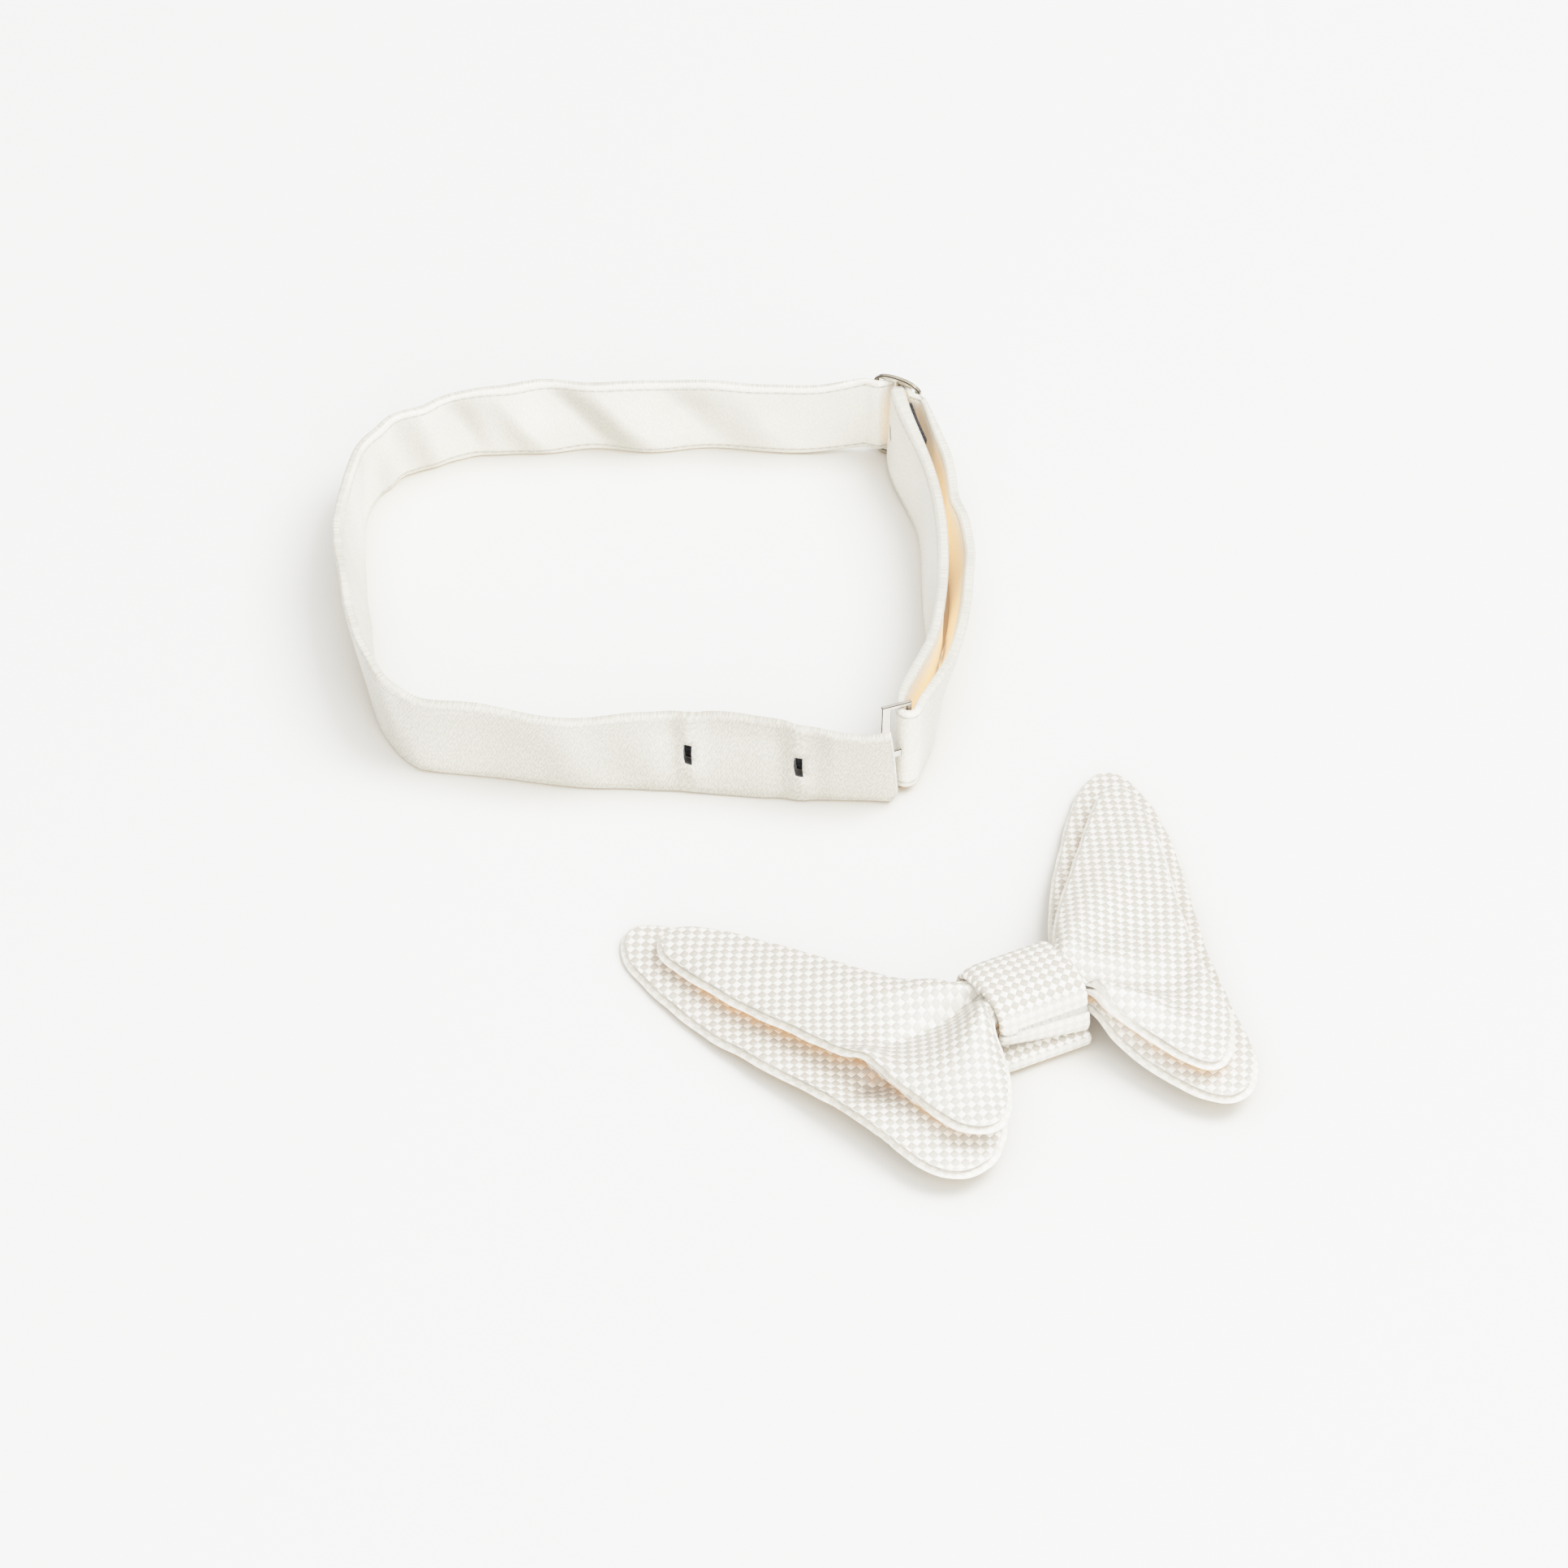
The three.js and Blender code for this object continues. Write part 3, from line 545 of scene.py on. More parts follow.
def finished(mesh: bmesh.types.BMesh, name: str, levels: int) -> bpy.types.Object:
    """Makes a smooth object of a mesh, subdivided, with its place in its mesh.

    Args:
        mesh: the coarse mesh, which is freed.
        name: name of the piece.
        levels: levels of subdivision, applied to the mesh.

    Returns:
        The new object, linked to the scene.
    """
    coarse = bpy.data.meshes.new(f"{name}_coarse")
    mesh.to_mesh(coarse)
    mesh.free()
    piece = placed(name, coarse)
    if levels:
        smooth = piece.modifiers.new("smooth", "SUBSURF")
        smooth.levels = smooth.render_levels = levels
        bpy.context.view_layer.update()
        shown = piece.evaluated_get(bpy.context.evaluated_depsgraph_get())
        fine = bpy.data.meshes.new_from_object(shown)
        piece.modifiers.clear()
        piece.data = fine
        fine.name = name
        bpy.data.meshes.remove(coarse)
    piece.data.shade_smooth()
    return piece


def listed(items: bpy.types.bpy_prop_collection, field: str, width: int = 1) -> np.ndarray:
    """Reads a number or a place from each item of a mesh.

    Args:
        items: the mesh's vertices, loops, faces or values.
        field: what is read from each.
        width: how many numbers it holds.

    Returns:
        The numbers, or one row for each item.
    """
    flat = np.zeros(len(items) * width, np.float32)
    items.foreach_get(field, flat)
    flat = flat.astype(float)
    return flat.reshape(-1, width) if width > 1 else flat


def counted(items: bpy.types.bpy_prop_collection, field: str) -> np.ndarray:
    """Reads a whole number from each item of a mesh.

    Args:
        items: the mesh's loops, faces or values.
        field: what is read from each.

    Returns:
        The numbers.
    """
    whole = np.zeros(len(items), np.int32)
    items.foreach_get(field, whole)
    return whole


def corners(piece: bpy.types.Object) -> np.ndarray:
    """Places of a piece's vertices, one row each."""
    return listed(piece.data.vertices, "co", 3)


def facing(piece: bpy.types.Object) -> np.ndarray:
    """Directions that a piece's vertices face, one row each."""
    return listed(piece.data.vertex_normals, "vector", 3)


def number_at(piece: bpy.types.Object, name: str) -> np.ndarray:
    """Values of a piece's vertex attribute."""
    return listed(piece.data.attributes[name].data, "value")


def move_corners(piece: bpy.types.Object, places: np.ndarray) -> None:
    """Gives a piece's vertices new places."""
    piece.data.vertices.foreach_set("co", places.astype(np.float32).ravel())
    piece.data.update()


def paint(piece: bpy.types.Object, name: str, values: np.ndarray) -> None:
    """Writes a number at each vertex of a piece."""
    data = piece.data.attributes.get(name) or piece.data.attributes.new(name, "FLOAT", "POINT")
    data.data.foreach_set("value", values.astype(np.float32))


def lay_cloth(piece: bpy.types.Object, flat: np.ndarray) -> None:
    """Writes the UV map that the threads follow.

    Args:
        piece: the piece.
        flat: place on the flat cloth of each vertex, in metres.
    """
    uv = piece.data.uv_layers.get("cloth") or piece.data.uv_layers.new(name="cloth")
    index = counted(piece.data.loops, "vertex_index")
    uv.data.foreach_set("uv", flat[index].astype(np.float32).ravel())


def soften(piece: bpy.types.Object, size: float, depth: float) -> None:
    """Makes a piece's surface slightly uneven, as handled cloth is.

    Args:
        piece: the piece.
        size: size of the unevenness, in metres.
        depth: its depth either way, in metres.
    """
    places = corners(piece)
    height = np.array([noise.noise(Vector(place) / size) for place in places])
    move_corners(piece, places + facing(piece) * height[:, None] * depth)


def bump_at(distance: np.ndarray, width: float) -> np.ndarray:
    """A smooth bell of a given half width round zero."""
    return np.exp(-((distance / width) ** 2))


def fade(value: np.ndarray, start: float, length: float) -> np.ndarray:
    """Rises from 0 at start to 1 at start plus length, which is below zero to rise the other way."""
    return np.clip((value - start) / length, 0, 1)


@dataclass(frozen=True)
class Part:
    """A piece that stands for a CAD node.

    Attributes:
        node: name of the CAD node it replaces.
        name: name of the piece.
        finish: its cloth or its plate.
    """

    node: str
    name: str
    finish: Cloth | Metal

    def shape(self) -> bpy.types.Object:
        """Shapes the piece and returns it."""
        raise NotImplementedError

    def declare(self, piece: bpy.types.Object) -> None:
        """Does nothing for any piece."""

    def build(self, finishes: Finishes) -> bpy.types.Object:
        """Builds and dresses the piece.

        Args:
            finishes: gives its materials.

        Returns:
            The piece.
        """
        piece = self.shape()
        piece.data.materials.clear()
        for material in finishes.materials(self.finish):
            piece.data.materials.append(material)
        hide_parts(self.node)
        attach(piece, "root")
        self.declare(piece)
        LOG.info("%s: %d faces", piece.name, len(piece.data.polygons))
        return piece


@dataclass(frozen=True)
class Dent:
    """A soft dent or crease in the neck band, in millimetres.

    Attributes:
        along: place of its middle along the band from the free end.
        up: height of its middle above the lower edge.
        lean: how far it leans from upright, in degrees.
        width: half width across it.
        reach: half length along it.
        depth: how far it goes into the loop.
    """

    along: float
    up: float
    lean: float
    width: float
    reach: float
    depth: float

    def press(self, along: np.ndarray, up: np.ndarray) -> np.ndarray:
        """Works out how far it presses the cloth into the loop.

        Args:
            along: place along the band of each point, in metres.
            up: height of each point above the lower edge, in metres.

        Returns:
            The depth at each point, in metres.
        """
        lean = math.radians(self.lean)
        right, high = along / MM - self.along, up / MM - self.up
        across = right * math.cos(lean) - high * math.sin(lean)
        length = right * math.sin(lean) + high * math.cos(lean)
        return self.depth * MM * bump_at(across, self.width) * bump_at(length, self.reach)


# The front leans back round its slits.
FRONT_LEAN = Dent(33, 19, 0, 25, 11, 1.9)


@dataclass(frozen=True)
class NeckBand(Part):
    """The satin neck band, from its free end round to the hem on the slider.

    Attributes:
        length: length of the band along its middle, in metres; not used.
        width: width of the band, in metres.
        dents: its dents and creases.
        slits: place along, height, lean and lift of each slit of the front, in millimetres.
        sheen_from: direction that the satin's sheen comes from.
        roll: place on the surface of the roll at the hook, in millimetres.
        left: where the curve at the left begins, in millimetres along the band, as are the rest.
        back: where the back's folds and its dents end, before the slider, and the doubling begins.
        outer: where the outer run at the right begins and ends.
        inner: where the inner run at the right begins and ends.
        fold: where it is folded round the hook.
        gap: between which places the two runs stand apart at their upper edges.
    """

    length: float = 0.509
    width: float = 0.019
    dents: tuple[Dent, ...] = (
        FRONT_LEAN, Dent(18.6, 9.5, 2, 1.4, 13, -0.5), Dent(22.6, 9.5, 2, 2.4, 13, 0.35),
        Dent(41.0, 12, 3, 1.7, 9, -0.55), Dent(44.6, 12, 3, 2.4, 8, 0.5),
        Dent(56, 6, 30, 5, 12, 0.5), Dent(66, 13, 20, 6, 10, -0.5), Dent(84, 12, -20, 7, 12, 0.5),
        Dent(104, 14, 20, 3.5, 9, -0.5), Dent(114, 13, -10, 4, 9, 0.6), Dent(127, 15, 15, 4, 8, -0.3),
        Dent(141, 8, -10, 3.5, 8, 0.6), Dent(152, 14, 10, 3.2, 8, -0.2), Dent(166, 9, -15, 3.4, 8, 0.5),
        Dent(176, 12, 10, 3.0, 9, -0.3), Dent(185, 9, -8, 1.9, 10, 1.0), Dent(190, 9, -8, 2.0, 10, -0.9),
        Dent(197, 9, -14, 2.4, 11, 1.1), Dent(205, 9, -24, 2.8, 11, -1.1),
        Dent(218, 9.5, -34, 4.2, 12, 1.4), Dent(228, 9.5, -34, 4.8, 12, -1.3),
        Dent(240, 9.5, -38, 5.0, 12, 1.2), Dent(252, 9.5, -36, 5.6, 12, -1.2),
        Dent(268, 9.5, -25, 6.0, 13, 0.6), Dent(322, 14, 12, 5, 9, -0.5), Dent(336, 13, -10, 5, 10, 1.1),
        Dent(351, 14, 12, 5, 9, -0.5), Dent(374, 3, 0, 17, 9, 2.2), Dent(434, 3, 0, 17, 9, 2.7),
    )
    slits: tuple[tuple[float, float, float, float], ...] = ((19.9, 6.8, 0.22, 0.5), (42.0, 6.8, 0.16, 1.0))
    sheen_from: tuple[float, float, float] = (0.45, -0.35, 0.82)
    roll: tuple[float, float] = (29.0, 2.5)
    left: float = 150.0
    back: tuple[float, float, float] = (290.0, 292.0, 294.0)
    outer: tuple[float, float] = (308.0, 396.0)
    inner: tuple[float, float] = (408.0, 480.0)
    fold: float = 403.0
    gap: tuple[float, float] = (352.0, 382.0)

    def stations(self, mesh: bmesh.types.BMesh) -> tuple[np.ndarray, np.ndarray]:
        """Writes how far along the band each vertex is, counted from the free end.

        Args:
            mesh: the welded band.

        Returns:
            The way along and the outward direction at each station.
        """
        along = mesh.verts.layers.float.new("along")
        up = mesh.verts.layers.float.new("up")
        near = ORIGIN + Vector((FREE_END, 0, 0))
        far = near + Vector((2.0, -2.4, 0)) * MM
        ring = [v for v in mesh.verts if near.x < v.co.x < far.x and v.co.y < far.y]
        seen = set(ring)
        rings = []
        while ring:
            rings.append(ring)
            ring = list({edge.other_vert(v) for v in ring for edge in v.link_edges} - seen)
            seen.update(ring)
        middles = np.array([np.mean([v.co for v in ring], axis=0) for ring in rings])
        steps = np.linalg.norm(np.diff(middles[:, :2], axis=0), axis=1)
        ways = np.concatenate([[0], np.cumsum(steps)])
        for way, ring in zip(ways, rings):
            low = min(v.co.z for v in ring)
            for v in ring:
                v[along] = way
                v[up] = v.co.z - low
        run = np.gradient(middles[:, :2], axis=0)
        out = np.stack([-run[:, 1], run[:, 0]], axis=1)
        return ways, out / np.linalg.norm(out, axis=1, keepdims=True)

    def mark_slits(self, mesh: bmesh.types.BMesh, slit_shade_layer: bmesh.types.BMLayerItem) -> None:
        """Marks the faces inside the slits, where shade is painted near black.

        Args:
            mesh: the welded band, with its ways along.
            slit_shade_layer: the layer to mark them in.
        """
        along = mesh.verts.layers.float["along"]
        up = mesh.verts.layers.float["up"]
        for face in mesh.faces:
            way, high = (sum(v[layer] for v in face.verts) / len(face.verts) / MM for layer in (along, up))
            for middle, height, *_ in self.slits:
                if abs(way - middle) < 1.6 and abs(high - height) < 3.2:
                    depth = max(v.co.y for v in face.verts) - min(v.co.y for v in face.verts)
                    face[slit_shade_layer] = float(depth > 1.0 * MM)

    def bend(self, places: np.ndarray, along: np.ndarray, up: np.ndarray, across: list[np.ndarray]) -> None:
        """Presses the dents into the band, waves its upper edge and lifts its slits and its end.

        Args:
            places: places of its vertices, which are moved.
            along: how far along the band each is, in metres.
            up: height of each above the lower edge, in metres.
            across: outward direction at each, along X and along Y.
        """
        way, high, part = along / MM, up / MM, fade(up, 0, self.width)
        outer = fade(way, self.outer[0], 10) * fade(way, self.outer[1], -8)
        inner = fade(way, self.inner[0], 8) * fade(way, self.inner[1], -12)
        free = fade(way, 4, 10) * np.maximum(fade(way, self.back[1], -12), np.maximum(outer, inner))
        depth = sum(dent.press(along, up) for dent in self.dents)
        ripple = 0.12 * MM * np.sin(way / 7.3) * np.sin(high / 6.1 + way / 19)
        shift = -(depth + ripple) * free
        slip = np.zeros(len(along))
        for middle, height, lean, lift in self.slits:
            slip += lean * bump_at(way - middle, 2.4) * bump_at(high - height, 4.0) * (up - height * MM)
            places[:, 2] += bump_at(way - middle, 3.5) * bump_at(high - height, 5.0) * lift * MM
        for axis, run in enumerate((-across[1], across[0])):
            places[:, axis] += shift * across[axis] - slip * run
        wave = np.sin(way / 4.1) + np.sin(way / 2.7 + 1.0) + 1.4 * np.sin(way / 9.3)
        places[:, 2] += 0.13 * MM * wave * fade(part, 0.6, 0.4) * free
        end = fade(way, 9, -9) ** 1.5
        places[:, 2] += end * (0.3 + 1.4 * part) * MM
        places[:, 0] += end * (1.5 * (1 - part) * fade(part, 0, 0.12) - 0.3 * part ** 6) * MM

    def shape(self) -> bpy.types.Object:
        """Shapes the band and paints what its satin reads.

        Returns:
            The piece.
        """
        mesh = welded(self.node)
        ways, out = self.stations(mesh)
        crease = mesh.edges.layers.float.new("crease_edge")
        slit_shade_layer = mesh.faces.layers.float.new("slit_wall_shade")
        for edge in mesh.edges:
            if len(edge.link_faces) == 2 and edge.calc_face_angle() > math.radians(32):
                edge[crease] = 0.55
        self.mark_slits(mesh, slit_shade_layer)
        piece = finished(mesh, self.name, 2)
        along, up, places = number_at(piece, "along"), number_at(piece, "up"), corners(piece)
        across = [np.interp(along, ways, out[:, axis]) for axis in range(2)]
        self.bend(places, along, up, across)
        before = facing(piece)
        move_corners(piece, places)
        lay_cloth(piece, np.stack([along, up], axis=1))
        way = along / MM
        # Painted sheen on the folds: lighter where a dent turns the cloth towards the sheen, darker where it
        # turns away, and darker on the leaning front.
        turned = (facing(piece) - before) @ np.array(Vector(self.sheen_from).normalized())
        turned *= np.where((way > self.left) & (way < self.back[0]), 4.1, 3.6)
        light = np.clip(turned - 0.5 * bump_at(way - 32, 26), -1, 1)
        paint(piece, "fold_light", light * (way > 12))
        # Painted sheen mask: the faces turned into the loop past the left curve, and the roll at the hook.
        inward = -sum(before[:, axis] * across[axis] for axis in range(2))
        towards_loop = np.where(way < self.fold, inward, -0.6 * inward)
        painted_sheen_mask = fade(towards_loop, 0, 0.5) * fade(way, self.left, 20)
        roll = bump_at(np.hypot(*(places[:, axis] / MM - self.roll[axis] for axis in range(2))), 5.5)
        paint(piece, "painted_sheen_mask", np.maximum(painted_sheen_mask, roll * 0.9))
        # How strongly painted shade shows in the gap between the runs: more towards the hook, less at the open
        # top, none beside the slits.
        beside = sum(bump_at(way - middle, 4.0) for middle, *_ in self.slits)
        ends = np.maximum(fade(way, self.gap[0], -14) * (way > self.back[2]), fade(way, self.gap[1], 12))
        open_top = 1 - np.where(way < 360, 0.25, 0.75) * ends * fade(up / MM, 10, 6)
        paint(piece, "gap_shade_strength", (1.2 + 0.9 * fade(way, 350, 30)) * open_top * (1 - np.clip(beside, 0, 1)))
        return piece

    def declare(self, piece: bpy.types.Object) -> None:
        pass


@dataclass(frozen=True)
class SizeTape(Part):
    """A plain tape behind the band.

    Attributes:
        flat: its width and length, in metres; not used.
        deeper: how much further down its lower edge reaches, in metres.
        lean: how the band in front of it leans, if it does.
    """

    flat: tuple[float, float]
    deeper: float = 0.0
    lean: Dent | None = None

    def shape(self) -> bpy.types.Object:
        """Shapes the tape.

        Returns:
            The piece.
        """
        mesh = welded(self.node)
        middle = sum(v.co.z for v in mesh.verts) / len(mesh.verts)
        for v in mesh.verts:
            if self.lean:
                v.co.y += self.lean.press(ORIGIN.x + FREE_END - v.co.x, v.co.z)
            v.co.z -= self.deeper if v.co.z < middle else 0.0
        sharp = [e for e in mesh.edges if e.calc_face_angle(0.0) > math.radians(60)]
        bmesh.ops.bevel(mesh, geom=sharp, offset=0.1 * MM, affect="EDGES", segments=2, profile=0.5, material=-1)
        piece = finished(mesh, self.name, 0)
        places = corners(piece)
        span = places.max(axis=0) - places.min(axis=0)
        axis = 0 if span[0] > span[1] else 1
        lay_cloth(piece, places[:, [axis, 2]])
        return piece

    def declare(self, piece: bpy.types.Object) -> None:
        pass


@dataclass(frozen=True)
class BowFrame:
    """Where the bow lies: u runs along it and v away from the viewer.

    Attributes:
        x: place of the middle of its knot, in metres.
        y: place of the middle of its knot, in metres.
        turn: angle of the bow, in radians.
    """

    x: float = 46.6 * MM
    y: float = -70.4 * MM
    turn: float = math.radians(26.0)

    def flat(self, places: np.ndarray) -> tuple[np.ndarray, np.ndarray]:
        """Turns places of the model's frame to the bow.

        Args:
            places: the places, one row each.

        Returns:
            Their places along and across the bow.
        """
        cosine, sine = math.cos(self.turn), math.sin(self.turn)
        x, y = places[:, 0] - ORIGIN.x - self.x, places[:, 1] - ORIGIN.y - self.y
        return x * cosine + y * sine, y * cosine - x * sine


BOW = BowFrame()


@dataclass(frozen=True)
class Crease:
    """A crease pressed down into a wing, in millimetres from the middle of the knot.

    Attributes:
        start: place of its deep end.
        end: place where it fades out.
        width: half width on the viewer's side.
        far: half width on the far side.
        depth: depth at its deep end, below zero for a ridge.
    """

    start: tuple[float, float]
    end: tuple[float, float]
    width: float
    far: float
    depth: float

    def drop(self, u: np.ndarray, v: np.ndarray) -> np.ndarray:
        """Works out how far it presses the cloth down.

        Args:
            u: place of each point along the bow, in metres.
            v: place of each point across the bow, in metres.

        Returns:
            The depth at each point, in metres.
        """
        a, b = np.array(self.start), np.array(self.end)
        length = np.linalg.norm(b - a)
        run = (b - a) / length
        du, dv = u / MM - a[0], v / MM - a[1]
        along = du * run[0] + dv * run[1]
        across = dv * run[0] - du * run[1]
        part = fade(along, 0, length)
        inside = 1 / (1 + np.exp(-along / 0.8))
        wide = np.where(across > 0, self.far, self.width) * (1 + 0.7 * part)
        sharp = np.exp(-(np.abs(across) / wide) ** (1.3 if self.depth > 0 else 2))
        return self.depth * MM * (1 - part) ** 0.8 * inside * sharp


@dataclass(frozen=True)
class Notch:
    """A place where a wing's edge is drawn back, in millimetres from the middle of the knot.

    Attributes:
        middle: place of its middle.
        reach: half width along and across the bow.
        back: how far the edge is drawn away from the viewer and up.
    """

    middle: tuple[float, float]
    reach: tuple[float, float]
    back: tuple[float, float]

    def draw(self, places: np.ndarray) -> np.ndarray:
        """Draws the edge back.

        Args:
            places: places of the layer's vertices.

        Returns:
            The new places.
        """
        u, v = BOW.flat(places)
        near = bump_at(u / MM - self.middle[0], self.reach[0]) * bump_at(v / MM - self.middle[1], self.reach[1])
        away, up = self.back
        way = np.array([-math.sin(BOW.turn) * away, math.cos(BOW.turn) * away, up])
        return places + near[:, None] * way * MM


@dataclass(frozen=True)
class BowLayer(Part):
    """One padded double layer of the bow, both wings and the waist.

    Attributes:
        creases: creases of its wings.
        gap_shade_strength: how strongly the painted shade and light of closed-in cloth show on it.
        notches: places where its edge is drawn back.
        pit: place of the deepest gap between the layers, where deeper shade is painted, in millimetres
        from the middle of the knot.
        rim: how far out each height of the rim stands, from its top down, in millimetres.
        grid: distance within which two corners are on one upright of the rim, in metres.
    """

    creases: tuple[Crease, ...]
    gap_shade_strength: float = 1.5
    notches: tuple[Notch, ...] = ()
    pit: tuple[float, float] = (-36.5, -3.6)
    rim: tuple[float, ...] = (-0.35, -0.6, -0.75, -0.95, -1.5, -0.1, 0.35, 0.4, 0.1)
    grid: float = 0.02 * MM

    def key(self, v: bmesh.types.BMVert) -> tuple[int, int]:
        """Place on the surface of a vertex of the rim, to find its column by."""
        return round(v.co.x / self.grid), round(v.co.y / self.grid)

    def open_rim(self, mesh: bmesh.types.BMesh) -> list[bmesh.types.BMEdge]:
        """Shapes the rim as two turned edges with a groove between them.

        Args:
            mesh: the welded layer.

        Returns:
            The edges of the groove.
        """
        upright = [
            e for e in mesh.edges
            if (e.verts[0].co.xy - e.verts[1].co.xy).length < self.grid and e.calc_length() > 1.2 * MM]
        rim = mesh.verts.layers.float.new("rim")
        groove = mesh.verts.layers.float.new("groove")
        columns = {}
        for edge in upright:
            normal = sum((f.normal for f in edge.link_faces), Vector())
            normal.z = 0
            columns[self.key(edge.verts[0])] = (normal.normalized(), *sorted(v.co.z for v in edge.verts))
        steps = len(self.rim) - 1
        bmesh.ops.subdivide_edges(mesh, edges=upright, cuts=steps - 1, use_grid_fill=True)
        middle = set()
        for v in mesh.verts:
            if self.key(v) not in columns:
                continue
            normal, low, high = columns[self.key(v)]
            part = (high - v.co.z) / (high - low)
            v[rim] = 1.0 if 0.05 < part < 0.95 else 0.5
            if abs(part - 0.5) < 0.02:
                v[groove] = 1.0
                middle.add(v)
            v.co += normal * np.interp(part * steps, range(steps + 1), self.rim) * MM
        return [e for e in mesh.edges if e.verts[0] in middle and e.verts[1] in middle]

    def number_cloths(self, mesh: bmesh.types.BMesh, groove: list[bmesh.types.BMEdge]) -> None:
        """Numbers the top and the underside of each wing, and seams them along their borders.

        Args:
            mesh: the layer, with its rim opened.
            groove: the edges of its groove.
        """
        part = mesh.faces.layers.int["part"]
        border = {v for e in groove for v in e.verts}
        start = max(mesh.verts, key=lambda v: v.co.z)
        ring, top = [start], {start}
        while ring:
            ring = list({e.other_vert(v) for v in ring for e in v.link_edges} - top - border)
            top.update(ring)
        for face in mesh.faces:
            u, _ = BOW.flat(np.array([face.calc_center_median()]))
            face[part] = 2 * int(u[0] > 0) + int(any(v in top for v in face.verts))
        for edge in mesh.edges:
            if len({face[part] for face in edge.link_faces}) > 1:
                edge.seam = True

    @staticmethod
    def unwrap(piece: bpy.types.Object) -> None:
        """Unwraps the cloth at its seams.

        Args:
            piece: the coarse layer.
        """
        bpy.context.view_layer.update()
        bpy.ops.object.select_all(action="DESELECT")
        bpy.context.view_layer.objects.active = piece
        piece.select_set(True)
        bpy.ops.object.mode_set(mode="EDIT")
        bpy.ops.mesh.select_all(action="SELECT")
        bpy.ops.uv.unwrap(method="MINIMUM_STRETCH", iterations=40)
        bpy.ops.object.mode_set(mode="OBJECT")
        piece.select_set(False)

    @staticmethod
    def lay(piece: bpy.types.Object) -> None:
        """Scales, turns and moves each unwrapped piece of cloth to real size and to its own place.

        Args:
            piece: the finished layer, with its unwrapped map.
        """
        mesh = piece.data
        uv = mesh.uv_layers["cloth"]
        flat = listed(uv.data, "uv", 2)
        part = np.repeat(counted(mesh.attributes["part"].data, "value"), counted(mesh.polygons, "loop_total"))
        real = corners(piece)[counted(mesh.loops, "vertex_index")][:, :2]
        for number in np.unique(part):
            chosen = part == number
            have = flat[chosen] - flat[chosen].mean(axis=0)
            want = real[chosen] - real[chosen].mean(axis=0)
            left, sizes, right = np.linalg.svd(have.T @ want)
            scale = sizes.sum() / (have ** 2).sum()
            flat[chosen] = scale * have @ left @ right + real[chosen].mean(axis=0)
        uv.data.foreach_set("uv", flat.astype(np.float32).ravel())

    def shape(self) -> bpy.types.Object:
        """Shapes the layer and paints what its weave reads.

        Returns:
            The piece.
        """
        mesh = welded(self.node)
        crease = mesh.edges.layers.float.new("crease_edge")
        mesh.loops.layers.uv.new("cloth")
        mesh.faces.layers.int.new("part")
        groove = self.open_rim(mesh)
        for edge in groove:
            edge.seam = True
            edge[crease] = 0.8
        self.number_cloths(mesh, groove)
        coarse = finished(mesh, f"{self.name}_flat", 0)
        self.unwrap(coarse)
        mesh = bmesh.new()
        mesh.from_mesh(coarse.data)
        bpy.data.objects.remove(coarse)
        piece = finished(mesh, self.name, 2)
        self.lay(piece)
        places = corners(piece)
        u, v = BOW.flat(places)
        upper = fade(facing(piece)[:, 2], 0, 0.5)
        for line in self.creases:
            places[:, 2] -= line.drop(u, v) * upper
        for notch in self.notches:
            places = notch.draw(places)
        move_corners(piece, places)
        soften(piece, 5 * MM, 0.22 * MM)
        # Painted highlight and painted shade by how each point faces the light from the front above, and
        # painted shade along the groove.
        away = facing(piece)
        gleam = np.where(away[:, 2] > 0.25, away @ np.array((0.1, -0.7, 0.7)) - 0.7, 0.12)
        in_groove = fade(number_at(piece, "groove"), 0.3, 0.5)
        paint(piece, "fold_light", np.clip(gleam * 1.9, -1, 1) - 2.0 * in_groove)
        on_rim = np.clip(number_at(piece, "rim") * 1.4 - 0.6, 0, 0.75)
        paint(piece, "plain", np.maximum(on_rim, fade(np.abs(away[:, 2]), 0.6, -0.35)))
        # Painted deeper shade round the pit, where the gap between the layers is deepest.
        deep = bump_at(np.hypot(u / MM - self.pit[0], v / MM - self.pit[1]), 5.5)
        paint(piece, "deepest", deep)
        paint(piece, "gap_shade_strength", self.gap_shade_strength + 2.0 * deep)
        return piece

    def declare(self, piece: bpy.types.Object) -> None:
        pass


@dataclass(frozen=True)
class ClothRing(Part):
    """A cloth ring along the middle of the bow, such as the knot.

    Attributes:
        flat: size of the cloth laid flat, in metres; not used.
        gap_shade_strength: how strongly the painted shade and light of closed-in cloth show on it.
        pinch: how far its left rim is drawn in, in metres.
        sink: how far its lower edge on the viewer's side comes out and down at its right end, in metres.
        sectors: into how many parts its section is divided to measure round it.
    """

    flat: tuple[float, float]
    gap_shade_strength: float = 0.15
    pinch: float = 0.0
    sink: float = 0.0
    sectors: int = 40

    def press(self, piece: bpy.types.Object) -> None:
        """Draws the rims in and down.

        Args:
            piece: the ring.
        """
        places = corners(piece)
        axes = (*BOW.flat(places), places[:, 2])
        right, far, high = (
            (axis - (axis.max() + axis.min()) / 2) / ((axis.max() - axis.min()) / 2) for axis in axes)
        left_rim = bump_at((axes[0] - axes[0].min()) / MM, 2.2) * self.pinch
        lower_edge = np.sqrt(fade(far, 0, -1) * fade(high, 0, -1))
        corner = lower_edge * fade(right, -1, 2) * self.sink
        out = -left_rim * far - corner
        places[:, 0] -= out * math.sin(BOW.turn)
        places[:, 1] += out * math.cos(BOW.turn)
        places[:, 2] -= left_rim * high + 1.1 * corner
        move_corners(piece, places)

